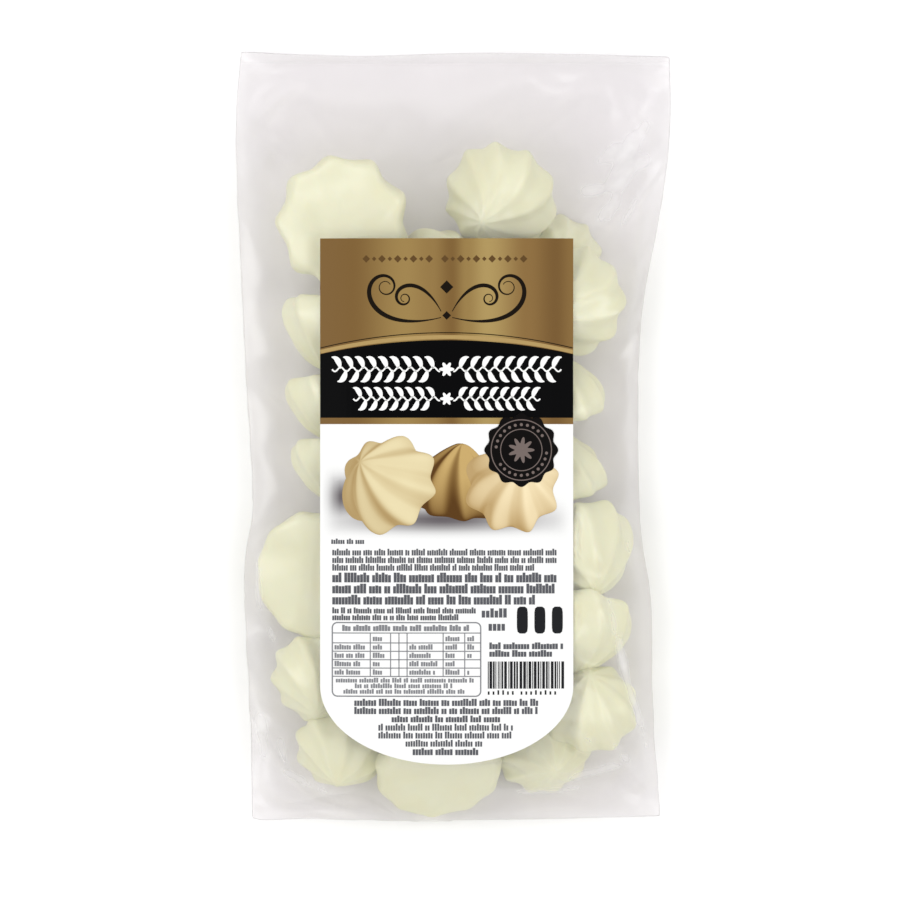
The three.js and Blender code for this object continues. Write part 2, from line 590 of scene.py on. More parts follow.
class HeightMap:
    """Heights on a fine grid of points, read smoothly in between."""

    step = 1.2 * MM

    def __init__(self, relief: Relief, from_above: bool, empty: float) -> None:
        """Reads the meshes all over the bag.

        Args:
            relief: The rays to read with.
            from_above: Whether to look down from above or up from below.
            empty: The height where there is nothing.
        """
        low, high = CAD_BOX
        self.low = np.array([low[0], low[1]]) - 4 * self.step
        self.size = [int((high[axis] - low[axis]) / self.step) + 9 for axis in (0, 1)]
        xs, ys = np.meshgrid(*(self.low[axis] + self.step * np.arange(self.size[axis]) for axis in (0, 1)))
        found = np.nan_to_num(relief.heights(xs, ys, from_above), nan=empty)
        widen = np.maximum if from_above else np.minimum
        for axis in (0, 1):
            found = widen(found, widen(np.roll(found, 1, axis), np.roll(found, -1, axis)))
        self.values = found

    def at(self, x: np.ndarray, y: np.ndarray) -> np.ndarray:
        """Reads the height at some points."""
        across = np.clip((x - self.low[0]) / self.step, 0, self.size[0] - 1.001)
        along = np.clip((y - self.low[1]) / self.step, 0, self.size[1] - 1.001)
        i, j = across.astype(int), along.astype(int)
        s, t = across - i, along - j
        low = self.values[j, i] * (1 - s) + self.values[j, i + 1] * s
        high = self.values[j + 1, i] * (1 - s) + self.values[j + 1, i + 1] * s
        return low * (1 - t) + high * t


class Outline:
    """The edge of the frame's bag as seen from the front, with the height that it lies at."""

    def __init__(self, bag: bpy.types.Object) -> None:
        """Keeps the bag's tree and its box."""
        self.tree = Relief(bag).tree
        self.low, self.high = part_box("bag")
        self.levels = np.arange(0.4 * MM, 30 * MM, 0.4 * MM)

    def side(self, y: float, sign: int) -> tuple[float, float]:
        """Finds the fold at a place along the bag.

        Args:
            y: The place along the bag.
            sign: -1 for the left fold and 1 for the right one.

        Returns:
            The fold's x and its height.
        """
        return self._furthest([Vector((sign, y, z)) for z in self.levels], Vector((-sign, 0, 0)), 0, sign)

    def end(self, x: float, sign: int) -> tuple[float, float]:
        """Finds the foot's edge, for a sign of -1, or the header's: its y and its height."""
        return self._furthest([Vector((x, sign, z)) for z in self.levels], Vector((0, -sign, 0)), 1, sign)

    def _furthest(
        self, starts: list[Vector], way: Vector, axis: int, sign: int
    ) -> tuple[float, float]:
        """Gives the outermost of some rays' hits, and the height of the middle of those at it."""
        hits = [self.tree.ray_cast(start, way)[0] for start in starts]
        hits = [(hit[axis], hit.z) for hit in hits if hit is not None]
        edge = max(sign * hit[0] for hit in hits)
        heights = [hit[1] for hit in hits if sign * hit[0] > edge - 0.15 * MM]
        return sign * edge, sum(heights) / len(heights)


@dataclass(frozen=True)
class FoldLine:
    """A crease in the film: its two ends in millimetres, its height, half width, and the strength and half
    width of the highlight painted along it as whiter film.
    """

    start: tuple[float, float]
    end: tuple[float, float]
    height: float
    width: float = 2.2
    # Painted highlight along the crease: white is its strength and mark its half width, in millimetres.
    white: float = 0.0
    mark: float = 0.9

    def reach(self, x: np.ndarray, y: np.ndarray, width: float) -> np.ndarray:
        """Gives how near each point is to the crease, from 0 to 1."""
        start, end = np.array(self.start) * MM, np.array(self.end) * MM
        way = end - start
        share = ((x - start[0]) * way[0] + (y - start[1]) * way[1]) / way.dot(way)
        near = np.clip(share, 0, 1)
        off = np.hypot(x - start[0] - near * way[0], y - start[1] - near * way[1])
        fade = np.sin(np.clip(share, 0.04, 0.96) * math.pi) ** 0.6
        return fade * np.exp(-((off / (width * MM)) ** 2))

    def lift(self, x: np.ndarray, y: np.ndarray, width: float | None = None) -> np.ndarray:
        """Gives how far the crease lifts each point."""
        return self.height * MM * self.reach(x, y, width or self.width)


@dataclass
class Film:
    """The bag's clear film: two slack sheets joined all round, settled over the kisses."""

    across: int = 74
    along: int = 132
    slack_across: float = 0.012
    slack_along: float = 0.008
    fullness: float = 0.5
    rim_hold: float = 0.15
    calm_from: float = 96 * MM
    spread_across: float = 1.014
    spread_along: float = 1.010
    fan: float = 0.09
    spread_from: float = 0.74
    bumps: tuple[tuple[int, float, float, float], ...] = ((1, -95, 50, -0.8),)
    rounds: int = 900
    bend: float = 0.012
    sink: float = 0.010 * MM
    gap: float = 0.6 * MM
    stir: float = 0.7 * MM
    ridge_width: float = 2.0
    ridge_share: float = 0.08
    seed: int = 11
    # Each crease's white and mark set the highlight painted along it.
    folds: tuple[FoldLine, ...] = (
        FoldLine((61, 92), (79, 128), 1.6, white=0.42, mark=4.6),
        FoldLine((58, 84), (68, 100), 1.4, white=0.32, mark=3.8),
        FoldLine((63, 103), (80, 113), 1.6, white=0.32, mark=3.8),
        FoldLine((50, 97), (64, 98), 1.0, white=0.24, mark=3.0),
        FoldLine((64, 78), (77, 101), 1.2, white=0.14, mark=2.0),
        FoldLine((56, 104), (68, 118), 1.3, white=0.22, mark=3.8),
        FoldLine((64, 60), (78, 96), 1.0),
        FoldLine((60, -58), (66, -84), 1.1, white=0.2, mark=1.6),
        FoldLine((65, -78), (70, -101), 1.2, white=0.5, mark=1.6),
        FoldLine((69, -97), (76, -119), 1.2, white=0.5, mark=1.7),
        FoldLine((74, -112), (79, -134), 1.0, white=0.25, mark=1.8),
        FoldLine((66, -30), (74, -58), 1.0, white=0.18, mark=2.0),
        FoldLine((58, -116), (80, -140), 1.1, white=0.2, mark=2.2),
        FoldLine((38, -138), (76, -128), 1.0, white=0.2, mark=2.0),
        FoldLine((12, -143), (60, -139), 0.8, white=0.16, mark=2.0),
        FoldLine((46, -116), (58, -122), 0.8, white=0.2, mark=2.2),
        FoldLine((-74, -130), (-44, -144), 1.1, white=0.2, mark=2.0),
        FoldLine((-77, -104), (-73, -142), 0.9, white=0.2, mark=3.0),
        FoldLine((-70, -112), (-66, -136), 0.8, white=0.16, mark=2.8),
        FoldLine((-78, -38), (-76, -80), 0.9, white=0.2, mark=1.6),
        FoldLine((-76, -70), (-67, -89), 0.8, white=0.2, mark=1.6),
        FoldLine((-80, 60), (-68, 20), 0.8),
    )

    def build(
        self, bag: bpy.types.Object, label: bpy.types.Object, kisses: list[bpy.types.Object]
    ) -> bpy.types.Object:
        """Lays the two sheets over the frame's bag, lets them settle and joins them.

        Args:
            bag: The frame's solid bag.
            label: The frame's label, under which the film stays put.
            kisses: What the film lies on.

        Returns:
            The film, as one closed skin.
        """
        sheets = self._lay(bag)
        beneath = Relief(label).heights(sheets[0, ..., 0], sheets[0, ..., 1], from_above=False)
        stuck = ~np.isnan(beneath)
        sheets = self._settle(sheets, stuck, Relief(*kisses))
        return self._skin(sheets)

    def _lay(self, bag: bpy.types.Object) -> np.ndarray:
        """Gives both sheets as they lie on the solid bag: front and back, by row and column."""
        outline = Outline(bag)
        relief = Relief(bag)
        middle = 0.0
        foot, header = outline.end(middle, -1)[0], outline.end(middle, 1)[0]
        levels = spaced_by_length(relief, foot, header, self.along)
        sheets = np.zeros((2, self.along + 1, self.across + 1, 3))
        for row, y in enumerate(levels):
            inner = min(max(y, foot + 1.5 * MM), header - 1.5 * MM)
            left, right = outline.side(inner, -1), outline.side(inner, 1)
            for sheet, from_above in enumerate((True, False)):
                sheets[sheet, row] = self._row(relief, y, left, right, from_above)
        share = (levels - foot) / (header - foot)
        for column in range(self.across + 1):
            for sheet in (0, 1):
                self._fit_ends(sheets[sheet, :, column], outline, share, (foot, header))
        rim = edge_mask(self.along, self.across)
        sheets[:, rim] = sheets[:, rim].mean(0)
        return sheets

    def _spread(self, sheets: np.ndarray, edges: tuple[np.ndarray, ...]) -> None:
        """Draws the settled sheets out to the bag's full outline, most at their edges.

        Args:
            sheets: Both sheets.
            edges: The bag's left, right, foot and header edge.
        """
        left, right, foot, header = edges
        for column, sign, side in ((0, -1, left), (-1, 1, right)):
            x, y = sheets[0, :, column, 0].copy(), sheets[0, :, column, 1]
            goal = self.spread_across * np.interp(y, side[:, 1], side[:, 0])
            for where, middle, half, out in self.bumps:
                if where == sign:
                    goal += sign * out * MM * np.exp(-(((y / MM - middle) / half) ** 2))
            near = self._nearness(sheets[..., 0], x[:, None])
            sheets[..., 0] += (goal - x)[:, None] * near
        self._unfold(sheets[..., 0])
        for row, end in ((0, foot), (-1, header)):
            x, y = sheets[0, row, :, 0], sheets[0, row, :, 1].copy()
            goal = np.interp(x, end[:, 0], end[:, 1]) * (self.spread_along - self.fan * x)
            near = self._nearness(sheets[..., 1], y)
            sheets[..., 1] += (goal - y) * near
        self._unfold(sheets[..., 1].transpose(0, 2, 1))

    def _nearness(self, places: np.ndarray, edge: np.ndarray) -> np.ndarray:
        """Gives how near places are to the edge, from 0 well inside to 1 on it."""
        near = np.clip((places / edge - self.spread_from) / (1 - self.spread_from), 0, 1)
        return near**2 * (3 - 2 * near)

    def _unfold(self, places: np.ndarray, least: float = 0.5 * MM, reach: int = 9) -> None:
        """Keeps the points next to both ends of every row in their order, so that no edge turns over."""
        for step in range(1, reach):
            places[..., step] = np.maximum(places[..., step], places[..., step - 1] + least)
            places[..., -1 - step] = np.minimum(places[..., -1 - step], places[..., -step] - least)

    def _row(
        self,
        relief: Relief,
        y: float,
        left: tuple[float, float],
        right: tuple[float, float],
        from_above: bool,
    ) -> np.ndarray:
        """Lays one row of a sheet across the solid bag, its points evenly apart over the bulge."""
        inset = 0.25 * MM
        fine = 240
        xs = np.linspace(left[0] + inset, right[0] - inset, fine)
        low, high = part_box("bag")
        along = min(max(y, low.y + 2.6 * MM), high.y - 2.6 * MM)
        zs = relief.heights(xs, np.full(fine, along), from_above)
        known = ~np.isnan(zs)
        zs = np.interp(xs, xs[known], zs[known])
        xs[0], xs[-1] = left[0], right[0]
        zs[0], zs[-1] = left[1], right[1]
        walked = np.concatenate(([0], np.cumsum(np.hypot(np.diff(xs), np.diff(zs)))))
        even = np.linspace(0, walked[-1], self.across + 1)
        return np.stack((np.interp(even, walked, xs), np.full(even.size, y), np.interp(even, walked, zs)), 1)

    def _fit_ends(
        self, column: np.ndarray, outline: Outline, share: np.ndarray, ends: tuple[float, float]
    ) -> None:
        """Slides one column along the bag so that it ends on the foot's and the header's edge."""
        low, high = outline.low, outline.high
        shifts = []
        for index, sign in ((0, -1), (-1, 1)):
            x = min(max(column[index, 0], low.x + 4 * MM), high.x - 4 * MM)
            y, z = outline.end(x, sign)
            shifts.append(y - ends[0 if sign < 0 else 1])
            column[index, 2] = z
        column[:, 1] += shifts[0] * (1 - share) ** 2 + shifts[1] * share**2

    def _settle(self, sheets: np.ndarray, stuck: np.ndarray, kisses: Relief) -> np.ndarray:
        """Lets the sheets find their shape: cut a little too large, they wrinkle.

        Args:
            sheets: Both sheets as laid on the solid bag.
            stuck: Where the front sheet is held by the label.
            kisses: What the sheets lie against.

        Returns:
            Both sheets at rest.
        """
        laid = sheets.copy()
        over = HeightMap(kisses, True, 2 * MM)
        under = HeightMap(kisses, False, 34 * MM)
        rim = edge_mask(self.along, self.across)
        free = np.ones((*sheets.shape[:3], 1))
        free[0][stuck] = 0
        free[:, [0, -1]] = 0
        lengths_across = np.linalg.norm(np.diff(laid, axis=2), axis=-1, keepdims=True)
        lengths_along = np.linalg.norm(np.diff(laid, axis=1), axis=-1, keepdims=True)
        widest = lengths_across.sum(2, keepdims=True)
        calm = np.clip((laid[0, :, 0, 1] - self.calm_from) / (25 * MM), 0, 1)
        slack = self.slack_across * (1 - 0.8 * calm)
        cut_across = widest * (1 + slack[None, :, None, None]) / self.across
        cut_across = np.broadcast_to(cut_across, lengths_across.shape)
        longest = lengths_along.sum(1).max()
        spare = self.fullness * (longest / lengths_along.sum(1, keepdims=True) - 1) + self.slack_along
        cut_along = lengths_along * (1 + spare)
        LOG.info(
            "film is %.0f mm wide at its widest row and %.0f at its narrowest; %.0f mm long",
            widest.max() / MM,
            widest.min() / MM,
            longest / MM,
        )
        sheets += self._stirring(sheets) * free * [[[[0, 0, 1]]]]
        edges = laid[0][:, 0], laid[0][:, -1], laid[0][0], laid[0][-1]
        before = sheets.copy()
        for count in range(self.rounds):
            if count < self.rounds - 5:
                speed = (sheets - before) * 0.86
                before = sheets.copy()
                sheets += speed * free
                sheets[..., 2:] -= self.sink * free
                self._bend(sheets, free)
                self._keep_lengths(sheets, free, cut_across, cut_along)
                sheets[:, rim] = sheets[:, rim].mean(0)
                sheets[:, rim] += self.rim_hold * (laid[:, rim] - sheets[:, rim])
            if count % 3 == 0 and count < self.rounds - 5:
                self._keep_within(sheets, edges)
            if count == self.rounds - 5:
                self._spread(sheets, edges)
            top, bottom = sheets[0], sheets[1]
            floor = over.at(top[..., 0], top[..., 1]) + self.gap
            top[..., 2] = np.where(stuck, top[..., 2], np.maximum(top[..., 2], floor))
            ceiling = under.at(bottom[..., 0], bottom[..., 1]) - self.gap
            bottom[..., 2] = np.clip(np.minimum(bottom[..., 2], ceiling), 0.25 * MM, None)
            least = np.maximum(top[..., 2], bottom[..., 2] + 0.15 * MM)
            top[..., 2] = np.where(rim | stuck, top[..., 2], least)
        return sheets

    def _keep_within(self, sheets: np.ndarray, edges: tuple[np.ndarray, ...]) -> None:
        """Keeps the sheets inside the bag's outline: its left, right, foot and header edges."""
        left, right, foot, header = edges
        x, y = sheets[..., 0], sheets[..., 1]
        low, high = np.interp(y, left[:, 1], left[:, 0]), np.interp(y, right[:, 1], right[:, 0])
        np.clip(x, low, high, out=x)
        low, high = np.interp(x, foot[:, 0], foot[:, 1]), np.interp(x, header[:, 0], header[:, 1])
        np.clip(y, low, high, out=y)

    def _stirring(self, sheets: np.ndarray) -> np.ndarray:
        """Gives the small unevenness, and the creases, that the wrinkles grow from."""
        lift = np.zeros((*sheets.shape[:3], 1))
        for sheet in (0, 1):
            for row in range(self.along + 1):
                for column in range(self.across + 1):
                    x, y, _z = sheets[sheet, row, column]
                    place = Vector((x * 75, y * 75, 4.0 * sheet + self.seed))
                    lift[sheet, row, column, 0] = self.stir * noise.noise(place)
        for fold in self.folds:
            lift[0, ..., 0] += fold.lift(sheets[0, ..., 0], sheets[0, ..., 1])
        return lift

    def _bend(self, sheets: np.ndarray, free: np.ndarray) -> None:
        """Eases the sharpest bends, as the film's own stiffness does."""
        curve = np.zeros_like(sheets)
        curve[:, 1:-1] += sheets[:, :-2] + sheets[:, 2:] - 2 * sheets[:, 1:-1]
        curve[:, :, 1:-1] += sheets[:, :, :-2] + sheets[:, :, 2:] - 2 * sheets[:, :, 1:-1]
        ease = np.zeros_like(sheets)
        ease[:, 1:-1] += curve[:, :-2] + curve[:, 2:] - 2 * curve[:, 1:-1]
        ease[:, :, 1:-1] += curve[:, :, :-2] + curve[:, :, 2:] - 2 * curve[:, :, 1:-1]
        sheets -= self.bend * ease * free

    def _keep_lengths(
        self, sheets: np.ndarray, free: np.ndarray, cut_across: np.ndarray, cut_along: np.ndarray
    ) -> None:
        """Draws every thread of the sheets back to the length that it was cut to."""
        for first in (0, 1):
            near, far = slice(first, -1, 2), slice(first + 1, None, 2)
            loose = (free[:, :, near], free[:, :, far])
            pull(sheets[:, :, near], sheets[:, :, far], *loose, cut_across[:, :, first::2])
            pull(sheets[:, near], sheets[:, far], free[:, near], free[:, far], cut_along[:, first::2])
        slant = np.hypot(cut_across[:, :-1], cut_along[:, :, :-1])
        low, high = slice(None, -1), slice(1, None)
        for first in (0, 1):
            near, far = slice(first, -1, 2), slice(first + 1, None, 2)
            pull(
                sheets[:, low, near], sheets[:, high, far], free[:, low, near], free[:, high, far],
                slant[:, :, first::2], 0.5,
            )
            pull(
                sheets[:, high, near], sheets[:, low, far], free[:, high, near], free[:, low, far],
                slant[:, :, first::2], 0.5,
            )

    def _skin(self, sheets: np.ndarray) -> bpy.types.Object:
        """Makes the sheets one mesh, joined all round.

        Args:
            sheets: Both sheets at rest.

        Returns:
            The closed skin, its faces outwards.
        """
        deselect_all()
        parts = []
        for sheet, name in enumerate(("film", "film_back")):
            deselect_all()
            bpy.ops.mesh.primitive_grid_add(x_subdivisions=self.across, y_subdivisions=self.along, size=1)
            ob = bpy.context.object
            ob.name = name
            flat = np.round(coordinates(ob) + 0.5, 4)
            columns = np.round(flat[:, 0] * self.across).astype(int)
            rows = np.round(flat[:, 1] * self.along).astype(int)
            move_vertices(ob, sheets[sheet, rows, columns])
            parts.append(ob)
        make_active(parts[1])
        bpy.ops.object.mode_set(mode="EDIT")
        bpy.ops.mesh.select_all(action="SELECT")
        bpy.ops.mesh.flip_normals()
        bpy.ops.object.mode_set(mode="OBJECT")
        make_active(parts[0])
        parts[1].select_set(True)
        bpy.ops.object.join()
        skin = bpy.context.object
        bpy.ops.object.mode_set(mode="EDIT")
        bpy.ops.mesh.select_all(action="SELECT")
        bpy.ops.mesh.remove_doubles(threshold=0.02 * MM)
        bpy.ops.object.mode_set(mode="OBJECT")
        apply_modifier(skin, "SUBSURF", levels=1, render_levels=1)
        self._crease(skin)
        shade_smooth(skin)
        return skin

    def _crease(self, skin: bpy.types.Object) -> None:
        """Presses the sharp ridge of every crease into the front of the film, and stores where a highlight is
        painted along each crease as whiter film.
        """
        points = coordinates(skin)
        normals = np.empty(points.size)
        skin.data.vertices.foreach_get("normal", normals)
        facing = np.clip(normals.reshape(-1, 3)[:, 2] * 3, 0, 1)
        # Painted highlight: how much whiter the front of the film is painted along each crease.
        white = np.zeros(len(points))
        for fold in self.folds:
            lift = fold.lift(points[:, 0], points[:, 1], self.ridge_width)
            points[:, 2] += self.ridge_share * lift * facing
            white = np.maximum(white, fold.white * fold.reach(points[:, 0], points[:, 1], fold.mark) * facing)
        skin.data.attributes.new("crease_highlight", "FLOAT", "POINT").data.foreach_set("value", white)
        points[:, 2] = np.maximum(points[:, 2], 0.05 * MM)
        move_vertices(skin, points)

    def dress(self, skin: bpy.types.Object, finish: "ClearFilm") -> None:
        """Gives the film its finish and its place in the frame."""
        skin.data.materials.append(finish.material())
        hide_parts("bag")
        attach(skin, BODY)


def spaced_by_length(relief: Relief, foot: float, header: float, count: int) -> np.ndarray:
    """Gives places along the bag that are evenly apart when walked over its bulge."""
    ys = np.linspace(foot + 0.3 * MM, header - 0.3 * MM, 600)
    zs = relief.heights(np.zeros(ys.size), ys, True)
    walked = np.concatenate(([0], np.cumsum(np.hypot(np.diff(ys), np.diff(zs)))))
    places = np.interp(np.linspace(0, walked[-1], count + 1), walked, ys)
    places[0], places[-1] = foot, header
    return places


def edge_mask(along: int, across: int) -> np.ndarray:
    """Marks the outermost points of a sheet."""
    rim = np.zeros((along + 1, across + 1), dtype=bool)
    rim[[0, -1]] = True
    rim[:, [0, -1]] = True
    return rim


def pull(
    a: np.ndarray,
    b: np.ndarray,
    free_a: np.ndarray,
    free_b: np.ndarray,
    length: np.ndarray,
    share: float = 1.0,
) -> None:
    """Moves pairs of points until they are a given length apart.

    Args:
        a: One point of each pair, moved in place.
        b: The other, moved in place.
        free_a: 1 where the first point may move and 0 where it may not.
        free_b: The same for the second.
        length: The length of each pair.
        share: How much of the difference is made good.
    """
    gap = b - a
    size = np.sqrt((gap * gap).sum(-1, keepdims=True)) + 1e-12
    shift = gap * (share * (size - length) / size / np.maximum(free_a + free_b, 1))
    a += free_a * shift
    b -= free_b * shift


# ---------------------------------------------------------------------------------------------
# Label
# ---------------------------------------------------------------------------------------------


class Layer(Enum):
    """How far each layer of print stands off the paper, in millimetres."""

    PAPER = 0.0
    FIELD = 0.04
    SHADE = 0.05
    LINE = 0.07
    PICTURE = 0.09
    SEAL = 0.3
    DETAIL = 0.33


@dataclass(frozen=True)
class Block:
    """Rows of small print: their left and right end, their top and foot, and how they are filled."""

    left: float
    right: float
    top: float
    foot: float
    rows: int
    pitch: float = 1.05
    boldness: float = 0.62
    centred: bool = False


class InkSheet:
    """One ink's shapes, drawn flat in millimetres and then laid on the label."""

    def __init__(self, name: str, layer: Layer) -> None:
        """Starts an empty mesh in edit mode."""
        deselect_all()
        bpy.ops.object.add(type="MESH")
        self.ob = bpy.context.object
        self.ob.name = name
        self.layer = layer
        bpy.ops.object.mode_set(mode="EDIT")

    def patch(self, cells: tuple[int, int], place: Callable[[float, float], tuple[float, float]]) -> None:
        """Adds a grid and bends it into shape.

        Args:
            cells: How many cells it has each way.
            place: Takes a point's shares across and along the grid, and gives its place.
        """
        bpy.ops.mesh.primitive_grid_add(x_subdivisions=cells[0], y_subdivisions=cells[1], size=1)
        mesh = bmesh.from_edit_mesh(self.ob.data)
        for vertex in mesh.verts:
            if vertex.select:
                x, y = place(vertex.co.x + 0.5, vertex.co.y + 0.5)
                vertex.co = (x * MM, y * MM, 0)
        bmesh.update_edit_mesh(self.ob.data)

    def bar(self, low: tuple[float, float], high: tuple[float, float]) -> None:
        """Adds a rectangle between two corners, in cells small enough to follow the label."""
        wide, tall = high[0] - low[0], high[1] - low[1]
        cells = (max(1, round(wide / 3)), max(1, round(tall / 3)))
        self.patch(cells, lambda u, v: (low[0] + u * wide, low[1] + v * tall))

    def ribbon(self, path: Sequence[tuple[float, float]], widths: Sequence[float]) -> None:
        """Adds a band along a path, as wide at each point as stated."""
        points = np.array(path)
        ways = np.gradient(points, axis=0)
        ways /= np.linalg.norm(ways, axis=1, keepdims=True) + TINY
        count = len(path) - 1

        def place(u: float, v: float) -> tuple[float, float]:
            """Gives a point of the ribbon, v across it."""
            index = round(u * count)
            off = (v - 0.5) * widths[index]
            return (points[index, 0] - ways[index, 1] * off, points[index, 1] + ways[index, 0] * off)

        self.patch((count, 1), place)

    def ring(
        self,
        centre: tuple[float, float],
        inner: float,
        outer: Callable[[float], float],
        count: int,
    ) -> None:
        """Adds a ring, or a disc where the inner radius is nil, with a shaped outer edge."""

        def place(u: float, v: float) -> tuple[float, float]:
            """Gives a point of the ring, v outwards."""
            angle = math.tau * u
            radius = inner + (outer(angle) - inner) * v
            return (centre[0] + radius * math.cos(angle), centre[1] + radius * math.sin(angle))

        self.patch((count, 4), place)

    def lay(self, bed: "LabelBed", thickness: float | None = None) -> bpy.types.Object:
        """Lays the shapes on the label and gives them their thickness.

        Args:
            bed: The label's face to lay them on.
            thickness: How thick they are; where it isn't given, they just reach the paper.

        Returns:
            The finished print.
        """
        bpy.ops.mesh.select_all(action="SELECT")
        bpy.ops.mesh.remove_doubles(threshold=0.002 * MM)
        mesh = bmesh.from_edit_mesh(self.ob.data)
        mesh.normal_update()
        for face in mesh.faces:
            face.select = face.normal.z < 0
        bmesh.update_edit_mesh(self.ob.data)
        bpy.ops.mesh.flip_normals()
        bpy.ops.object.mode_set(mode="OBJECT")
        bed.drape(self.ob, self.layer.value * MM)
        thickness = thickness or (self.layer.value + 0.02) * MM
        apply_modifier(self.ob, "SOLIDIFY", thickness=thickness, offset=-1.0)
        return self.ob


class LabelBed:
    """The face of the label as one smooth surface, for laying the paper and its print on."""

    step = 1.5 * MM
    easing = 14

    def __init__(self, label: bpy.types.Object) -> None:
        """Reads the label's face and evens it out.

        Args:
            label: The frame's label.
        """
        low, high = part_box("label")
        self.low = np.array([low.x, low.y]) - 3 * self.step
        self.size = [int((high[axis] - low[axis]) / self.step) + 8 for axis in (0, 1)]
        xs, ys = np.meshgrid(*(self.low[axis] + self.step * np.arange(self.size[axis]) for axis in (0, 1)))
        found = Relief(label).heights(xs, ys, from_above=True)
        while np.isnan(found).any():
            found = self._spread(found)
        for _ in range(self.easing):
            padded = np.pad(found, 1, mode="edge")
            above, below = padded[:-2, 1:-1], padded[2:, 1:-1]
            before, after = padded[1:-1, :-2], padded[1:-1, 2:]
            found = (above + below + before + after + 2 * found) / 6
        self.values = found

    def _spread(self, found: np.ndarray) -> np.ndarray:
        """Fills the empty points beside known ones with their neighbours' mean."""
        padded = np.pad(found, 1, constant_values=np.nan)
        around = np.stack((padded[:-2, 1:-1], padded[2:, 1:-1], padded[1:-1, :-2], padded[1:-1, 2:]))
        known = ~np.isnan(around)
        mean = np.where(known, around, 0).sum(0) / np.maximum(known.sum(0), 1)
        return np.where(np.isnan(found) & known.any(0), mean, found)

    def drape(self, ob: bpy.types.Object, lift: float) -> None:
        """Lays a flat mesh on the label, a little above its face."""
        points = coordinates(ob)
        across = np.clip((points[:, 0] - self.low[0]) / self.step, 0, self.size[0] - 1.001)
        along = np.clip((points[:, 1] - self.low[1]) / self.step, 0, self.size[1] - 1.001)
        i, j = across.astype(int), along.astype(int)
        s, t = across - i, along - j
        near = self.values[j, i] * (1 - s) + self.values[j, i + 1] * s
        far = self.values[j + 1, i] * (1 - s) + self.values[j + 1, i + 1] * s
        points[:, 2] += near * (1 - t) + far * t + lift
        move_vertices(ob, points)


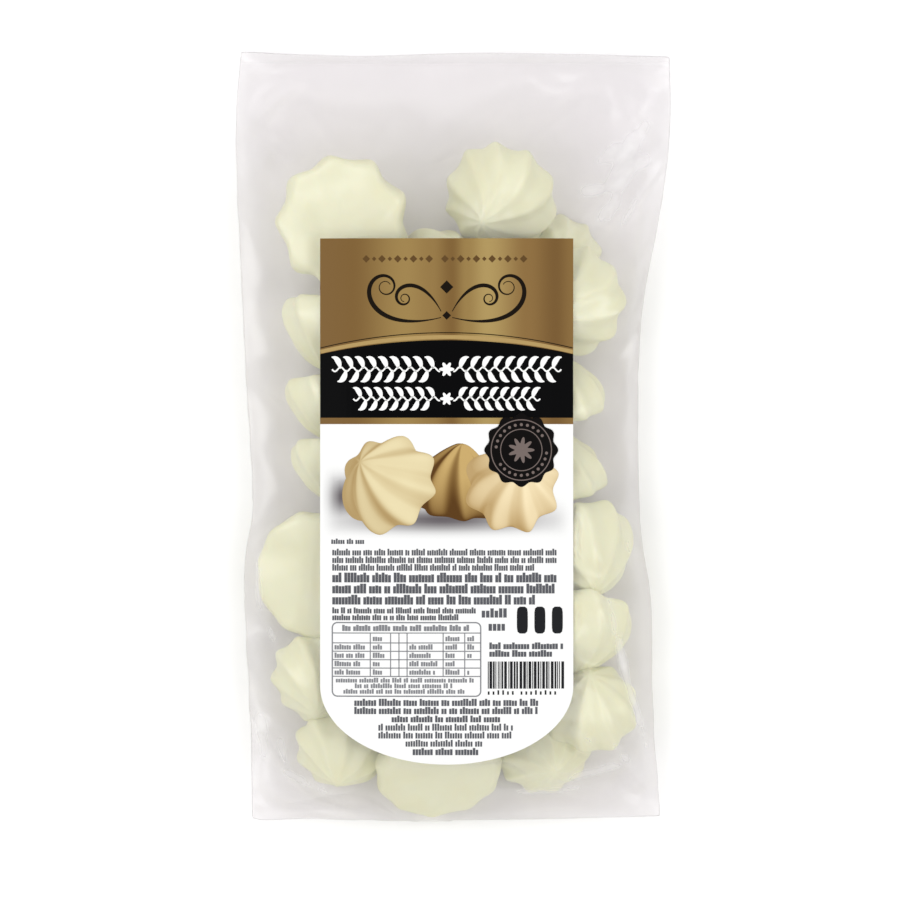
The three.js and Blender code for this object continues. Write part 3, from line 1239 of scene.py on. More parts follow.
@dataclass
class LabelPrint:
    """What is printed on the label: colour fields, ornament, rows of marks and a picture."""

    left: float = -52.2
    right: float = 47.6
    top: float = 77.8
    straight_foot: float = -98.6
    foot_round: float = 31.0
    thickness: float = 0.35 * MM
    gold_foot: float = 4.6
    black_foot: float = 7.1
    arch_side: float = 32.2
    arch_rise: float = 5.5
    badge: tuple[float, float] = (27.1, -5.6)
    badge_radius: float = 14.5
    seed: int = 5
    blocks: tuple[Block, ...] = (
        Block(-47.8, -33.0, -40.5, -42.9, 1, 0.9, 0.8),
        Block(-47.4, 41.9, -44.5, -53.5, 3, 0.9, 0.78),
        Block(-47.4, 41.9, -53.9, -67.0, 3, 1.25, 0.88),
        Block(-47.4, 9.3, -67.6, -73.0, 2, 0.9, 0.8),
        Block(14.5, 43.9, -81.4, -87.4, 2, 1.15, 0.86),
        Block(-38.7, 34.3, -103.6, -110.0, 2, 1.1, 0.82, True),
        Block(-24.0, 19.7, -110.2, -113.2, 1, 1.1, 0.82, True),
        Block(-29.2, 24.4, -113.4, -119.6, 2, 1.0, 0.74, True),
        Block(-18.5, 13.7, -119.8, -122.8, 1, 1.0, 0.74, True),
        Block(-15.7, 10.9, -123.0, -126.2, 1, 1.15, 0.84, True),
    )

    def build(self, bed: LabelBed) -> list[bpy.types.Object]:
        """Cuts the label's paper and prints it.

        Args:
            bed: The label's face.

        Returns:
            The paper, and one piece for each ink.
        """
        self.bed = bed
        self.rng = random.Random(self.seed)
        paper = self._paper()
        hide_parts("label")
        pieces = [
            self._dressed(paper, LabelPaper()),
            self._dressed(self._gold_field(), GoldInk()),
            self._dressed(self._gold_stripe(), PlainInk("gold_light", (170, 143, 92), 0.34)),
            self._dressed(self._black_field(), PlainInk("black_ink", (5, 5, 6), 0.38)),
            self._dressed(self._flourish(), PlainInk("black_line", (24, 18, 12), 0.4)),
            self._dressed(self._caption(), PlainInk("brown_line", (92, 68, 38), 0.42)),
            self._dressed(self._vines(), PlainInk("white_ink", (238, 238, 236), 0.42)),
            self._dressed(self._small_print(), PlainInk("grey_print", (88, 89, 94), 0.5)),
            self._dressed(self._table(), PlainInk("line_grey", (128, 129, 133), 0.5)),
            self._dressed(self._bold_marks(), PlainInk("dark_print", (32, 33, 36), 0.45)),
            self._dressed(self._seal(), PlainInk("seal_black", (14, 12, 12), 0.36)),
            self._dressed(self._seal_marks(), PlainInk("seal_grey", (112, 100, 96), 0.45)),
        ]
        return pieces

    def _dressed(self, ob: bpy.types.Object, ink: "GoldInk | PlainInk | LabelPaper") -> bpy.types.Object:
        """Gives one piece its ink and its place in the frame."""
        ob.data.materials.append(ink.material())
        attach(ob, BODY)
        return ob

    def _paper(self) -> bpy.types.Object:
        """Cuts the paper: straight down to its foot, which is half an oval."""
        sheet = InkSheet("label_sheet", Layer.PAPER)
        middle, half = (self.left + self.right) / 2, (self.right - self.left) / 2
        tall = self.top - self.straight_foot

        def straight(u: float, v: float) -> tuple[float, float]:
            """Gives a point above the rounded foot."""
            return (middle - half * math.cos(math.pi * u), self.straight_foot + tall * v)

        def oval(u: float, v: float) -> tuple[float, float]:
            """Gives a point of the rounded foot."""
            depth = self.foot_round * math.sin(math.pi * u)
            return (middle - half * math.cos(math.pi * u), self.straight_foot - depth * (1 - v))

        sheet.patch((48, 70), straight)
        sheet.patch((48, 14), oval)
        return sheet.lay(self.bed, self.thickness)

    def _arch(self, x: float, side: float, rise: float) -> float:
        """Gives the height of a shallow arch over the label at a place across it."""
        half = (self.right - self.left) / 2
        off = (x - (self.left + half)) / half
        return side + rise * (1 - off * off)

    def _gold_field(self) -> bpy.types.Object:
        """Prints the gold field, down to the arch, and the gold rule below the black field."""
        sheet = InkSheet("label_gold", Layer.FIELD)
        wide = self.right - self.left

        def field(u: float, v: float) -> tuple[float, float]:
            """Gives a point between the arch and the label's head."""
            x = self.left + u * wide
            low = self._arch(x, self.arch_side, self.arch_rise)
            return (x, low + (self.top - low) * v)

        sheet.patch((48, 18), field)
        sheet.bar((self.left, self.gold_foot), (self.right, self.black_foot))
        return sheet.lay(self.bed)

    def _gold_stripe(self) -> bpy.types.Object:
        """Prints the lighter stripe that follows the arch."""
        sheet = InkSheet("label_gold_stripe", Layer.LINE)
        xs = np.linspace(self.left + 0.1, self.right - 0.1, 41)
        path = [(x, self._arch(x, self.arch_side + 0.9, self.arch_rise + 0.3)) for x in xs]
        sheet.ribbon(path, [1.5] * len(path))
        return sheet.lay(self.bed)

    def _black_field(self) -> bpy.types.Object:
        """Prints the black field under the arch."""
        sheet = InkSheet("label_black", Layer.FIELD)
        wide = self.right - self.left

        def field(u: float, v: float) -> tuple[float, float]:
            """Gives a point between the black field's foot and the arch."""
            x = self.left + u * wide
            high = self._arch(x, self.arch_side, self.arch_rise)
            return (x, self.black_foot + (high - self.black_foot) * v)

        sheet.patch((48, 10), field)
        return sheet.lay(self.bed)

    def _flourish(self) -> bpy.types.Object:
        """Prints the thin arc line and the scrolled ornament over it."""
        sheet = InkSheet("label_flourish", Layer.LINE)
        xs = np.linspace(self.left + 0.1, self.right - 0.1, 41)
        arc = [(x, self._arch(x, 34.6, 6.0)) for x in xs]
        sheet.ribbon(arc, [0.35] * len(arc))
        middle = (self.left + self.right) / 2
        arms = (
            ((2.2, 46.6), -14.0, 66.0, 1.75, 1.5),
            ((2.2, 49.0), 62.0, 40.0, -1.7, 1.2),
        )
        for sign in (-1, 1):
            for start, heading, length, curl, thick in arms:
                path, widths = scroll(start, heading, length, curl, thick)
                sheet.ribbon([(middle + sign * x, y) for x, y in path], widths)
        sheet.ring((middle, 58.6), 0.0, lambda angle: 2.6 / (abs(math.cos(angle)) + abs(math.sin(angle))), 24)
        sheet.ring((middle, 47.4), 0.0, lambda angle: 1.7 / (abs(math.cos(angle)) + abs(math.sin(angle))), 24)
        return sheet.lay(self.bed)

    def _caption(self) -> bpy.types.Object:
        """Prints a row of small lozenges near the top edge."""
        sheet = InkSheet("label_caption", Layer.LINE)
        for index in range(21):
            if index != 9:
                centre = (-34.0 + 3.1 * index, 69.7)
                size = 1.5 if index % 2 == 0 else 0.9
                sheet.ring(centre, 0.0, lambda angle, size=size: size / corner_share(angle), 8)
        return sheet.lay(self.bed)

    def _vines(self) -> bpy.types.Object:
        """Prints two leafy vines on the black field, each growing out both ways from a flower."""
        sheet = InkSheet("label_vines", Layer.LINE)
        middle = (self.left + self.right) / 2
        for reach, y, height, count in ((45.2, 26.2, 9.6, 9), (36.8, 14.6, 8.6, 8)):
            pitch = (reach - 4.0) / count
            for sign in (-1, 1):
                stem = vine_stem(reach, height, pitch)
                sheet.ribbon([(middle + sign * x, y + rise) for x, rise in stem], [0.62] * len(stem))
                for index in range(2 * count - 1):
                    path, widths = leaf(4.0 + (index + 0.6) * pitch / 2, height, pitch, 1 - 2 * (index % 2))
                    sheet.ribbon([(middle + sign * x, y + rise) for x, rise in path], widths)
            petals = 0.24 * height
            outer = lambda angle, size=petals: size * (1 + 0.3 * math.cos(6 * angle))
            sheet.ring((middle, y), 0.0, outer, 72)
        return sheet.lay(self.bed)

    def _small_print(self) -> bpy.types.Object:
        """Prints the rows of small marks, gathered in groups like words."""
        sheet = InkSheet("label_small_print", Layer.LINE)
        for block in self.blocks:
            pitch = (block.top - block.foot) / block.rows
            for row in range(block.rows):
                foot = block.top - pitch * (row + 1) + 0.12 * pitch
                self._row(sheet, block, foot, 0.8 * pitch, short=0.9 if row == block.rows - 1 else 1.0)
        self._row(sheet, Block(11.5, 22.4, 0, 0, 1, 1.7, 0.78), -71.6, 3.3, 1.0)
        self._row(sheet, Block(14.2, 22.4, 0, 0, 1, 1.7, 0.78), -76.8, 3.3, 1.0)
        return sheet.lay(self.bed)

    def _row(self, sheet: InkSheet, block: Block, foot: float, height: float, short: float) -> None:
        """Prints one row of marks."""
        x = block.left
        right = block.left + (block.right - block.left) * (1.0 if block.centred else short)
        while x < right - block.pitch:
            marks = self.rng.choice((2, 3, 4, 5, 6, 7, 8, 9))
            for _ in range(marks):
                if x > right - block.pitch:
                    break
                tall = height * self.rng.choice((0.82, 0.82, 0.9, 1.1))
                sheet.patch(
                    (1, 1),
                    lambda u, v, x=x, tall=tall: (x + u * block.boldness * block.pitch, foot + v * tall),
                )
                x += block.pitch
            x += 0.8 * block.pitch

    def _table(self) -> bpy.types.Object:
        """Prints the table's frame and lines, with marks in its cells."""
        sheet = InkSheet("label_table", Layer.LINE)
        left, right, top, foot = -47.4, 11.1, -73.6, -102.6
        path, corner = [], 2.0
        for x, y, start in ((right - corner, top - corner, 0), (left + corner, top - corner, 90),
                            (left + corner, foot + corner, 180), (right - corner, foot + corner, 270)):
            for step in range(7):
                angle = math.radians(start + 15 * step)
                path.append((x + corner * math.cos(angle), y + corner * math.sin(angle)))
        path.append(path[0])
        dense = [
            (a[0] + (b[0] - a[0]) * share, a[1] + (b[1] - a[1]) * share)
            for a, b in pairwise(path)
            for share in (np.arange(12) / 12 if math.dist(a, b) > 5 else (0,))
        ]
        dense.append(path[0])
        sheet.ribbon(dense, [0.5] * len(dense))
        for y in (-77.7, -81.6, -84.9, -88.2, -91.5, -94.8):
            sheet.bar((left, y - 0.2), (right, y + 0.2))
        for x in (-32.4, -24.4, -21.1, -17.9, -3.7, 4.8):
            sheet.bar((x - 0.2, -94.8), (x + 0.2, -77.7))
        self._row(sheet, Block(-43.5, 7.0, 0, 0, 1, 1.15, 0.88), -76.9, 2.2, 1.0)
        for row, y in enumerate((-80.9, -84.2, -87.5, -90.8, -94.1)):
            for low, high in ((-46.5, -33.5), (-31.4, -25.4), (-17.0, -5.0), (-2.8, 3.8), (5.8, 9.6)):
                if row or low not in (-46.5, -17.0):
                    block = Block(low, high - self.rng.uniform(0, 3), 0, 0, 1, 0.95, 0.8)
                    self._row(sheet, block, y, 1.9, 1.0)
        for low, high, y in ((-46.0, 9.5, -97.2), (-38.5, 1.0, -99.4), (-43.0, 5.8, -101.6)):
            self._row(sheet, Block(low, high, 0, 0, 1, 0.95, 0.78), y, 1.7, 1.0)
        return sheet.lay(self.bed)

    def _bold_marks(self) -> bpy.types.Object:
        """Prints the large blocks and the stripes with the marks under them."""
        sheet = InkSheet("label_bold", Layer.LINE)
        for index in range(3):
            x = 24.6 + 6.9 * index
            sheet.ring((x + 2.9, -72.6), 0.0, lambda angle: rounded(angle, 2.15, 5.3), 32)
        x = 13.9
        while x < 43.8:
            wide = self.rng.choice((0.35, 0.35, 0.7, 1.05))
            sheet.bar((x, -99.6), (x + wide, -88.9))
            x += wide + self.rng.choice((0.3, 0.4, 0.6))
        self._row(sheet, Block(13.9, 44.0, 0, 0, 1, 1.9, 0.35), -102.0, 1.6, 1.0)
        return sheet.lay(self.bed)

    def _seal(self) -> bpy.types.Object:
        """Prints the black scalloped seal."""
        sheet = InkSheet("label_seal", Layer.SEAL)
        edge = self.badge_radius
        sheet.ring(self.badge, 0.0, lambda angle: edge * (0.955 + 0.05 * math.cos(12 * angle)), 144)
        return sheet.lay(self.bed)

    def _seal_marks(self) -> bpy.types.Object:
        """Prints the seal's rings, its ring of ticks and the rosette in its middle."""
        sheet = InkSheet("label_seal_marks", Layer.DETAIL)
        for inner, outer in ((11.7, 12.1), (8.0, 8.35)):
            sheet.ring(self.badge, inner, lambda _angle, outer=outer: outer, 72)
        for index in range(26):
            if index % 13 in (0, 1):
                continue
            angle = math.tau * (index + 0.5) / 26
            way = (math.cos(angle), math.sin(angle))
            spot = [self.badge[axis] + 10.0 * part for axis, part in enumerate(way)]
            sheet.ring(tuple(spot), 0.0, lambda _angle: 0.62, 10)
        sheet.ring(self.badge, 0.0, lambda angle: 3.9 + 1.3 * math.cos(9 * angle), 108)
        return sheet.lay(self.bed)


def scroll(
    start: tuple[float, float], heading: float, length: float, curl: float, thick: float
) -> tuple[list[tuple[float, float]], list[float]]:
    """Draws one arm of a scrolled ornament, which bends ever more until it curls up.

    Args:
        start: Where the arm starts, to the right of the ornament's middle.
        heading: The direction that it starts in, in degrees.
        length: How long it is.
        curl: How far its end bends, in turns: upwards for more than nil, downwards for less.
        thick: The arm's greatest width.

    Returns:
        The arm's points, and its width at each.
    """
    steps = 80
    (x, y), path, widths = start, [], []
    for step in range(steps + 1):
        share = step / steps
        path.append((x, y))
        widths.append(0.3 + thick * math.sin(math.pi * share**0.8) ** 2)
        angle = math.radians(heading) + math.tau * curl * (0.12 * share + 0.88 * share**3.2)
        x += length / steps * math.cos(angle)
        y += length / steps * math.sin(angle)
    return path, widths


def vine_stem(reach: float, height: float, pitch: float) -> list[tuple[float, float]]:
    """Draws a vine's stem from the middle to its tip, swaying once for every pair of leaves."""
    xs = np.linspace(2.6, reach, 90)
    return [(x, 0.09 * height * math.sin(math.tau * (x - 4.0) / pitch)) for x in xs]


def corner_share(angle: float) -> float:
    """Gives how much nearer a diamond's edge is than its corner, as a divisor, at some angle."""
    return abs(math.cos(angle)) + abs(math.sin(angle))


def leaf(
    start: float, height: float, pitch: float, side: int
) -> tuple[list[tuple[float, float]], list[float]]:
    """Draws one leaf, bent outwards.

    Args:
        start: How far out it leaves the stem.
        height: How tall the vine is.
        pitch: How far apart the leaves on one side are.
        side: 1 for a leaf that grows up and -1 for one that grows down.

    Returns:
        The leaf's points, and its width at each.
    """
    path, widths, steps = [], [], 14
    for step in range(steps + 1):
        share = step / steps
        out = pitch * (0.12 * share + 0.62 * share * share)
        path.append((start + out, side * height * (0.03 + 0.47 * math.sin(share * math.pi / 2))))
        widths.append(0.3 + 0.42 * pitch * math.sin(math.pi * min(1.0, 0.06 + 0.94 * share)) ** 1.1)
    return path, widths


def rounded(angle: float, half_wide: float, half_tall: float) -> float:
    """Gives the radius of a rectangle with well rounded corners, at an angle."""
    across, up = abs(math.cos(angle)) / half_wide, abs(math.sin(angle)) / half_tall
    return (across**5 + up**5) ** (-1 / 5)


@dataclass(frozen=True)
class PrintedView:
    """One kiss of the picture: how it lies, its light and dark colour, and how its shade falls."""

    name: str
    place: Place
    spin: float
    pale: tuple[int, int, int]
    dark: tuple[int, int, int]
    low: float
    fall: float
    depth: float


@dataclass
class PrintedKisses:
    """The picture on the label: three kisses pressed flat, with their light and shade as colour."""

    flatness: float = 0.0035
    light: tuple[float, float, float] = (0.5, 0.12, 0.76)
    views: tuple["PrintedView", ...] = (
        PrintedView(
            "printed_kiss_middle", Place(1.8, -17.8, 82, 20, 1.02), 8.0,
            (188, 158, 100), (84, 54, 16), -0.42, 0.5, 0.1,
        ),
        PrintedView(
            "printed_kiss_left", Place(-27.8, -17.0, 142, 50, 1.1), 34.0,
            (220, 207, 166), (142, 110, 60), 0.36, 0.0, 0.24,
        ),
        PrintedView(
            "printed_kiss_right", Place(24.6, -17.8, 62, 66, 1.05), 112.0,
            (236, 220, 182), (136, 100, 46), 0.38, 0.0, 0.26,
        ),
    )
    swirl: Swirl = Swirl(
        lobes=8, groove=0.76, flank=0.85, radius=20 * MM, height=26 * MM, twist=math.radians(20)
    )

    def build(self, bed: LabelBed) -> list[bpy.types.Object]:
        """Prints the soft shadow and the three kisses.

        Args:
            bed: The label's face.

        Returns:
            The shadow and the picture.
        """
        pieces = [self._shadow(bed)]
        for order, view in enumerate(self.views):
            pieces.append(self._kiss(view, order, bed))
        for piece in pieces:
            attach(piece, BODY)
        return pieces

    def _kiss(self, view: "PrintedView", order: int, bed: LabelBed) -> bpy.types.Object:
        """Prints one kiss as seen from where its point leans."""
        place = view.place
        ob = self.swirl.build(view.name)
        points = coordinates(ob)
        points[:, 2] -= MIDDLE_SHARE * self.swirl.height
        points = points @ place_turn(place, math.radians(view.spin)).T * place.size
        move_vertices(ob, points)
        ob.data.update()
        make_active(ob)
        bpy.ops.object.mode_set(mode="EDIT")
        bpy.ops.mesh.select_all(action="DESELECT")
        mesh = bmesh.from_edit_mesh(ob.data)
        mesh.normal_update()
        for face in mesh.faces:
            face.select = face.normal.z < 0.01
        bmesh.update_edit_mesh(ob.data)
        bpy.ops.mesh.delete(type="FACE")
        bpy.ops.object.mode_set(mode="OBJECT")
        self._shade(ob, view)
        points = coordinates(ob)
        points *= (1, 1, self.flatness)
        points += (place.x * MM, place.y * MM, order * 0.05 * MM)
        move_vertices(ob, points)
        bed.drape(ob, Layer.PICTURE.value * MM)
        ob.data.materials.append(PictureInk().material())
        return ob

    def _shade(self, ob: bpy.types.Object, view: "PrintedView") -> None:
        """Stores the light and shade on a kiss as a colour at each point, darkest in its grooves."""
        light = Vector(self.light).normalized()
        pale, dark = np.array(view.pale), np.array(view.dark)
        bends = hollows(ob, self.swirl.radius)
        colours = ob.data.color_attributes.new("shade", "FLOAT_COLOR", "POINT")
        for index, vertex in enumerate(ob.data.vertices):
            lit = max(0.0, vertex.normal.dot(light))
            share = view.low + (1 - view.low) * lit**0.8 + 0.08 * noise.noise(vertex.co * 90)
            share += view.fall * vertex.co.y / self.swirl.radius - view.depth * bends[index]
            share = min(1.0, max(0.0, share))
            colours.data[index].color = linear(tuple(dark + (pale - dark) * share))

    def _shadow(self, bed: LabelBed) -> bpy.types.Object:
        """Prints the bluish shadow under the kisses, fading out all round."""
        sheet = InkSheet("printed_shadow", Layer.SHADE)
        sheet.patch((40, 24), lambda u, v: (-51.8 + 99.0 * u, -42.0 + 32.0 * v))
        ob = sheet.lay(bed)
        colours = ob.data.color_attributes.new("shade", "FLOAT_COLOR", "POINT")
        white, grey = np.array(linear((236, 236, 235))), np.array(linear((92, 86, 90)))
        for index, vertex in enumerate(ob.data.vertices):
            x, y = vertex.co.x / MM, vertex.co.y / MM
            share = 0.0
            for middle, wide, deep in (((-43, -24), 12, 10), ((-4, -33.0), 48, 6.4), ((4, -30), 16, 6)):
                off = math.hypot((x - middle[0]) / wide, (y - middle[1]) / deep)
                share = max(share, math.exp(-off * off * 1.4))
            edge = min(1.0, (x + 51.8) / 6, (47.2 - x) / 6, (y + 42.0) / 5, (-10.0 - y) / 8)
            share *= max(0.0, edge)
            colours.data[index].color = tuple(white + (grey - white) * share)
        ob.data.materials.append(PictureInk().material())
        return ob


# ---------------------------------------------------------------------------------------------
# Finishes
# ---------------------------------------------------------------------------------------------


class Recipe:
    """A material's nodes, added one by one."""

    def __init__(self, name: str) -> None:
        """Starts an empty material."""
        self.made = bpy.data.materials.new(name)
        self.made.use_nodes = True
        self.tree = self.made.node_tree
        self.tree.nodes.clear()
        self.output = self.add("ShaderNodeOutputMaterial")

    def add(self, kind: str, **settings: object) -> bpy.types.Node:
        """Adds a node.

        Args:
            kind: The node's type.
            settings: Its inputs, with _ for a space in their names, or its own properties.

        Returns:
            The node.
        """
        node = self.tree.nodes.new(kind)
        for name, value in settings.items():
            if hasattr(node, name):
                setattr(node, name, value)
            else:
                node.inputs[name.replace("_", " ")].default_value = value
        return node

    def link(self, source: bpy.types.NodeSocket, into: bpy.types.NodeSocket) -> None:
        """Joins an output to an input."""
        self.tree.links.new(source, into)


@dataclass(frozen=True)
class Coating:
    """The pale cream coating of the kisses, with a soft satin shine and painted shade: a darker colour mixed
    in where the surface is hollow, so its grooves look shaded.
    """

    colour: tuple[float, float, float, float] = (0.797, 0.803, 0.562, 1)
    deep: tuple[float, float, float, float] = (0.768, 0.76, 0.49, 1)
    # Painted shade: this darker, warmer colour is mixed in where a kiss is hollow, in the grooves between its
    # ridges.
    groove: tuple[float, float, float, float] = (0.70, 0.58, 0.28, 1)

    def material(self) -> bpy.types.Material:
        """Gives the coating's material, made once."""
        if "cream_coating" in bpy.data.materials:
            return bpy.data.materials["cream_coating"]
        recipe = Recipe("cream_coating")
        place = recipe.add("ShaderNodeTexCoord")
        blotch = recipe.add("ShaderNodeTexNoise", Scale=70.0, Detail=3.0)
        recipe.link(place.outputs["Object"], blotch.inputs["Vector"])
        ramp = recipe.add("ShaderNodeValToRGB")
        ramp.color_ramp.elements[0].color = self.deep
        ramp.color_ramp.elements[0].position = 0.2
        ramp.color_ramp.elements[1].color = self.colour
        ramp.color_ramp.elements[1].position = 0.6
        recipe.link(blotch.outputs["Fac"], ramp.inputs["Fac"])
        shader = recipe.add("ShaderNodeBsdfPrincipled", Roughness=0.48)
        shader.inputs["Specular IOR Level"].default_value = 0.35
        shader.inputs["Subsurface Weight"].default_value = 0.25
        shader.inputs["Subsurface Radius"].default_value = (0.004, 0.003, 0.0015)
        shader.inputs["Subsurface Scale"].default_value = 1.0
        # Painted shade in the grooves: how hollow each point is mixes the groove colour into the coating.
        stored = recipe.add("ShaderNodeAttribute", attribute_name="hollow")
        grooves = recipe.add("ShaderNodeMix", data_type="RGBA")
        grooves.inputs[7].default_value = self.groove
        recipe.link(stored.outputs["Fac"], grooves.inputs[0])
        recipe.link(ramp.outputs["Color"], grooves.inputs[6])
        recipe.link(grooves.outputs[2], shader.inputs["Base Color"])
        grain = recipe.add("ShaderNodeTexNoise", Scale=420.0, Detail=4.0)
        recipe.link(place.outputs["Object"], grain.inputs["Vector"])
        bump = recipe.add("ShaderNodeBump", Strength=0.12, Distance=0.0006)
        recipe.link(grain.outputs["Fac"], bump.inputs["Height"])
        recipe.link(bump.outputs["Normal"], shader.inputs["Normal"])
        recipe.link(shader.outputs["BSDF"], recipe.output.inputs["Surface"])
        return recipe.made


@dataclass(frozen=True)
class ClearFilm:
    """Thin clear film with a faint milky haze, a broad shine, and highlights painted along its creases as
    whiter film.
    """

    haze: float = 0.19
    haze_spread: float = 0.05
    band_from: float = 148.6 * MM
    band_haze: float = 0.07
    tint: tuple[float, float, float, float] = (0.974, 0.965, 0.970, 1)
    milk: tuple[float, float, float, float] = (0.85, 0.828, 0.836, 1)
    # The colour of the highlights painted along the creases.
    crease: tuple[float, float, float, float] = (0.97, 0.96, 0.965, 1)

    def material(self) -> bpy.types.Material:
        """Gives the film's material, made once."""
        recipe = Recipe("clear_film")
        place = recipe.add("ShaderNodeTexCoord")
        cloud = recipe.add("ShaderNodeTexNoise", Scale=28.0, Detail=3.0)
        recipe.link(place.outputs["Object"], cloud.inputs["Vector"])
        amount = recipe.add("ShaderNodeMapRange")
        amount.inputs["To Min"].default_value = self.haze - self.haze_spread
        amount.inputs["To Max"].default_value = self.haze + self.haze_spread
        recipe.link(cloud.outputs["Fac"], amount.inputs["Value"])
        split = recipe.add("ShaderNodeSeparateXYZ")
        recipe.link(place.outputs["Object"], split.inputs[0])
        band = recipe.add("ShaderNodeMapRange")
        band.inputs["From Min"].default_value = self.band_from
        band.inputs["From Max"].default_value = self.band_from + 0.4 * MM
        band.inputs["To Max"].default_value = self.band_haze
        recipe.link(split.outputs["Y"], band.inputs["Value"])
        total = recipe.add("ShaderNodeMath", operation="ADD")
        recipe.link(amount.outputs[0], total.inputs[0])
        recipe.link(band.outputs[0], total.inputs[1])
        clear = recipe.add("ShaderNodeBsdfTransparent", Color=self.tint)
        lit = recipe.add("ShaderNodeBsdfDiffuse", Color=self.milk)
        through = recipe.add("ShaderNodeBsdfTranslucent", Color=self.milk)
        milky = recipe.add("ShaderNodeMixShader", Fac=0.5)
        recipe.link(lit.outputs[0], milky.inputs[1])
        recipe.link(through.outputs[0], milky.inputs[2])
        body = recipe.add("ShaderNodeMixShader")
        recipe.link(total.outputs[0], body.inputs["Fac"])
        recipe.link(clear.outputs[0], body.inputs[1])
        recipe.link(milky.outputs[0], body.inputs[2])
        # Painted highlights along the creases are mixed in here.
        crease_highlight = self._creased(recipe, place, body)
        shine = recipe.add("ShaderNodeBsdfAnisotropic", Roughness=0.26)
        facing = recipe.add("ShaderNodeLayerWeight", Blend=0.5)
        steep = recipe.add("ShaderNodeMath", operation="POWER")
        steep.inputs[1].default_value = 4.0
        recipe.link(facing.outputs["Facing"], steep.inputs[0])
        edge = recipe.add("ShaderNodeMapRange")
        edge.inputs["To Min"].default_value = 0.05
        edge.inputs["To Max"].default_value = 0.55
        recipe.link(steep.outputs[0], edge.inputs["Value"])
        whole = recipe.add("ShaderNodeMixShader")
        recipe.link(edge.outputs[0], whole.inputs["Fac"])
        recipe.link(crease_highlight.outputs[0], whole.inputs[1])
        recipe.link(shine.outputs[0], whole.inputs[2])
        recipe.link(whole.outputs[0], recipe.output.inputs["Surface"])
        return recipe.made

    def _creased(self, recipe: Recipe, place: bpy.types.Node, body: bpy.types.Node) -> bpy.types.Node:
        """Paints highlights along the film's creases as whiter film, unevenly.

        Args:
            recipe: The material's nodes.
            place: Where its coordinates come from.
            body: The film's shader without the painted crease highlights.

        Returns:
            The shader with them.
        """
        # Painted highlight: a whiter diffuse film mixed in along the creases.
        white = recipe.add("ShaderNodeBsdfDiffuse", Color=self.crease)
        stored = recipe.add("ShaderNodeAttribute", attribute_name="crease_highlight")
        breaks = recipe.add("ShaderNodeTexNoise", Scale=90.0, Detail=1.0)
        recipe.link(place.outputs["Object"], breaks.inputs["Vector"])
        patchy = recipe.add("ShaderNodeMapRange")
        patchy.inputs["From Min"].default_value = 0.3
        patchy.inputs["From Max"].default_value = 0.65
        patchy.inputs["To Min"].default_value = 0.3
        recipe.link(breaks.outputs["Fac"], patchy.inputs["Value"])
        amount = recipe.add("ShaderNodeMath", operation="MULTIPLY")
        recipe.link(stored.outputs["Fac"], amount.inputs[0])
        recipe.link(patchy.outputs[0], amount.inputs[1])
        mixed = recipe.add("ShaderNodeMixShader")
        recipe.link(amount.outputs[0], mixed.inputs["Fac"])
        recipe.link(body.outputs[0], mixed.inputs[1])
        recipe.link(white.outputs[0], mixed.inputs[2])
        return mixed


def linear(colour: tuple[int, int, int]) -> tuple[float, float, float, float]:
    """Turns a colour on the usual 0 to 255 scale into the shader's own."""
    parts = [part / 255 for part in colour]
    return (*(part / 12.92 if part <= 0.04045 else ((part + 0.055) / 1.055) ** 2.4 for part in parts), 1.0)


@dataclass(frozen=True)
class PlainInk:
    """One even ink with the paper's faint tooth."""

    name: str
    colour: tuple[int, int, int]
    roughness: float

    def material(self) -> bpy.types.Material:
        """Gives the ink's material, made once."""
        if self.name in bpy.data.materials:
            return bpy.data.materials[self.name]
        recipe = Recipe(self.name)
        shader = recipe.add("ShaderNodeBsdfPrincipled", Roughness=self.roughness)
        shader.inputs["Specular IOR Level"].default_value = 0.03
        place = recipe.add("ShaderNodeTexCoord")
        mottle = recipe.add("ShaderNodeTexNoise", Scale=900.0, Detail=2.0)
        recipe.link(place.outputs["Object"], mottle.inputs["Vector"])
        ramp = recipe.add("ShaderNodeValToRGB")
        base = linear(self.colour)
        ramp.color_ramp.elements[0].color = (*(part * 0.94 for part in base[:3]), 1)
        ramp.color_ramp.elements[1].color = (*(min(1.0, part * 1.04) for part in base[:3]), 1)
        recipe.link(mottle.outputs["Fac"], ramp.inputs["Fac"])
        recipe.link(ramp.outputs["Color"], shader.inputs["Base Color"])
        recipe.link(shader.outputs["BSDF"], recipe.output.inputs["Surface"])
        return recipe.made


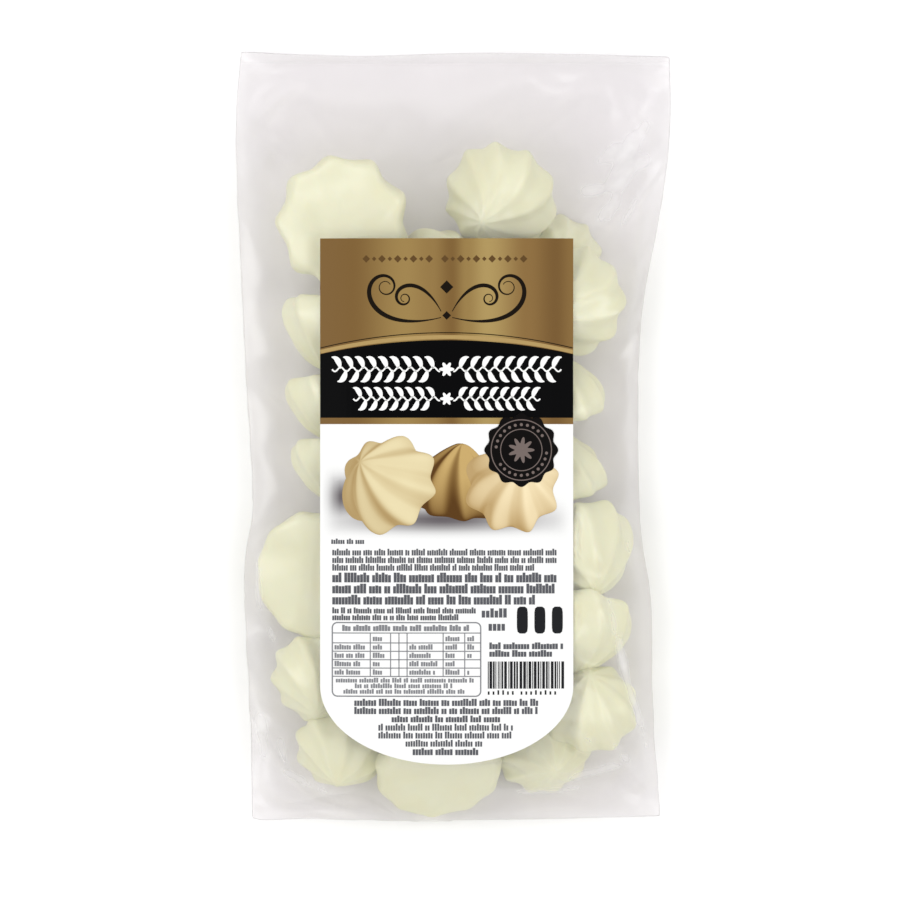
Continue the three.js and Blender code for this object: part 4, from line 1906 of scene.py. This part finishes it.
@dataclass(frozen=True)
class GoldInk:
    """Gold-brown ink that runs from dark to light and back across the label."""

    left: float = -52.2 * MM
    right: float = 47.6 * MM
    stops: tuple[tuple[float, tuple[int, int, int]], ...] = (
        (0.0, (119, 91, 53)),
        (0.12, (118, 90, 51)),
        (0.34, (148, 122, 73)),
        (0.44, (139, 112, 66)),
        (0.52, (119, 91, 51)),
        (0.58, (144, 118, 70)),
        (0.66, (163, 139, 87)),
        (0.82, (131, 102, 60)),
        (0.93, (113, 85, 48)),
        (1.0, (128, 100, 58)),
    )

    def material(self) -> bpy.types.Material:
        """Gives the ink's material, made once."""
        recipe = Recipe("gold_ink")
        place = recipe.add("ShaderNodeTexCoord")
        split = recipe.add("ShaderNodeSeparateXYZ")
        recipe.link(place.outputs["Object"], split.inputs[0])
        share = recipe.add("ShaderNodeMapRange")
        share.inputs["From Min"].default_value = self.left
        share.inputs["From Max"].default_value = self.right
        recipe.link(split.outputs["X"], share.inputs["Value"])
        ramp = recipe.add("ShaderNodeValToRGB")
        ramp.color_ramp.interpolation = "EASE"
        knots = ramp.color_ramp.elements
        knots[0].position, knots[0].color = self.stops[0][0], linear(self.stops[0][1])
        knots[1].position, knots[1].color = self.stops[-1][0], linear(self.stops[-1][1])
        for position, colour in self.stops[1:-1]:
            knots.new(position).color = linear(colour)
        recipe.link(share.outputs[0], ramp.inputs["Fac"])
        shader = recipe.add("ShaderNodeBsdfPrincipled", Roughness=0.34)
        shader.inputs["Specular IOR Level"].default_value = 0.03
        recipe.link(ramp.outputs["Color"], shader.inputs["Base Color"])
        recipe.link(shader.outputs["BSDF"], recipe.output.inputs["Surface"])
        return recipe.made


@dataclass(frozen=True)
class PictureInk:
    """The picture's inks, whose colour is stored at each point of the print."""

    def material(self) -> bpy.types.Material:
        """Gives the picture's material, made once."""
        if "picture_ink" in bpy.data.materials:
            return bpy.data.materials["picture_ink"]
        recipe = Recipe("picture_ink")
        colour = recipe.add("ShaderNodeVertexColor", layer_name="shade")
        shader = recipe.add("ShaderNodeBsdfPrincipled", Roughness=0.45)
        shader.inputs["Specular IOR Level"].default_value = 0.1
        recipe.link(colour.outputs["Color"], shader.inputs["Base Color"])
        recipe.link(shader.outputs["BSDF"], recipe.output.inputs["Surface"])
        return recipe.made


@dataclass(frozen=True)
class LabelPaper:
    """White coated label paper with a fine tooth."""

    def material(self) -> bpy.types.Material:
        """Gives the paper's material."""
        recipe = Recipe("label_paper")
        place = recipe.add("ShaderNodeTexCoord")
        tooth = recipe.add("ShaderNodeTexNoise", Scale=1400.0, Detail=3.0)
        recipe.link(place.outputs["Object"], tooth.inputs["Vector"])
        ramp = recipe.add("ShaderNodeValToRGB")
        ramp.color_ramp.elements[0].color = (0.825, 0.825, 0.818, 1)
        ramp.color_ramp.elements[1].color = (0.855, 0.855, 0.848, 1)
        recipe.link(tooth.outputs["Fac"], ramp.inputs["Fac"])
        shader = recipe.add("ShaderNodeBsdfPrincipled", Roughness=0.42)
        shader.inputs["Specular IOR Level"].default_value = 0.1
        recipe.link(ramp.outputs["Color"], shader.inputs["Base Color"])
        bump = recipe.add("ShaderNodeBump", Strength=0.05, Distance=0.0001)
        recipe.link(tooth.outputs["Fac"], bump.inputs["Height"])
        recipe.link(bump.outputs["Normal"], shader.inputs["Normal"])
        recipe.link(shader.outputs["BSDF"], recipe.output.inputs["Surface"])
        return recipe.made


# ---------------------------------------------------------------------------------------------
# Studio
# ---------------------------------------------------------------------------------------------


@dataclass
class Studio:
    """A pale floor, soft light from above and a camera that looks straight down on the bag."""

    floor_size: float = 6.0
    field_width: float = 900 * 0.397 * MM
    distance: float = 3.0
    subject_height: float = 21 * MM
    look_at: tuple[float, float] = (-1.0 * MM, -5.6 * MM)

    def build(self) -> None:
        """Makes the floor, the lights and the camera."""
        self._floor()
        self._light("key", (-0.2, 1.0, 0.95), (1.2, 0.9), 2.2)
        for turn in (45, 135, 225, 315):
            across, along = math.cos(math.radians(turn)), math.sin(math.radians(turn))
            self._light(f"fill_{turn}", (across, along, 2.0), (0.5, 0.5), 2.9)
        self._light("left_strip", (-0.75, 0.0, 0.95), (0.25, 0.8), 2.4)
        self._light("right_strip", (0.8, -0.25, 0.85), (0.12, 0.9), 2.2)
        self._world()
        self._camera()
        bpy.context.scene.view_settings.view_transform = "Standard"

    def _floor(self) -> None:
        """Makes the floor that the bag lies on."""
        deselect_all()
        bpy.ops.mesh.primitive_plane_add(size=self.floor_size)
        floor = bpy.context.object
        floor.name = "floor"
        recipe = Recipe("floor_white")
        shader = recipe.add("ShaderNodeBsdfPrincipled", Roughness=0.9)
        shader.inputs["Base Color"].default_value = (0.95, 0.95, 0.95, 1)
        recipe.link(shader.outputs["BSDF"], recipe.output.inputs["Surface"])
        floor.data.materials.append(recipe.made)

    def _light(
        self, name: str, place: tuple[float, float, float], size: tuple[float, float], power: float
    ) -> None:
        """Hangs one soft light that faces the bag.

        Args:
            name: The light's name.
            place: Where it hangs.
            size: How wide and tall it is.
            power: Its power in watts.
        """
        deselect_all()
        bpy.ops.object.light_add(type="AREA", location=place)
        light = bpy.context.object
        light.name = name
        light.data.shape = "RECTANGLE"
        light.data.size, light.data.size_y = size
        light.data.energy = power
        light.rotation_euler = (-Vector(place)).to_track_quat("-Z", "Y").to_euler()

    def _world(self) -> None:
        """Fills the room with even white light."""
        world = bpy.data.worlds.new("room")
        bpy.context.scene.world = world
        world.use_nodes = True
        background = world.node_tree.nodes["Background"]
        background.inputs["Color"].default_value = (1, 1, 1, 1)
        background.inputs["Strength"].default_value = 0.72

    def _camera(self) -> None:
        """Sets the camera above the bag, with the header at the top of the picture."""
        deselect_all()
        bpy.ops.object.camera_add(location=(*self.look_at, self.distance), rotation=(0, 0, 0))
        camera = bpy.context.object
        camera.data.sensor_width = 36
        camera.data.lens = 36 * (self.distance - self.subject_height) / self.field_width
        camera.data.clip_start = 0.05
        bpy.context.scene.camera = camera


def main() -> None:
    """Builds the contents, the film, the label and the studio, in that order."""
    logging.basicConfig(level=logging.INFO, format="%(name)s: %(message)s")
    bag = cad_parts["bag"]
    fill = CookieFill()
    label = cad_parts["label"]
    fill.build(bag, label)
    fill.dress(Coating())
    LOG.info("%d meringues settled in the bag", len(fill.pieces))
    film = Film()
    skin = film.build(bag, label, fill.pieces)
    film.dress(skin, ClearFilm())
    LOG.info("film settled, %d faces", len(skin.data.polygons))
    bed = LabelBed(label)
    prints = LabelPrint().build(bed) + PrintedKisses().build(bed)
    LOG.info("label printed with %d pieces", len(prints))
    Studio().build()


if __name__ == "__main__":
    main()
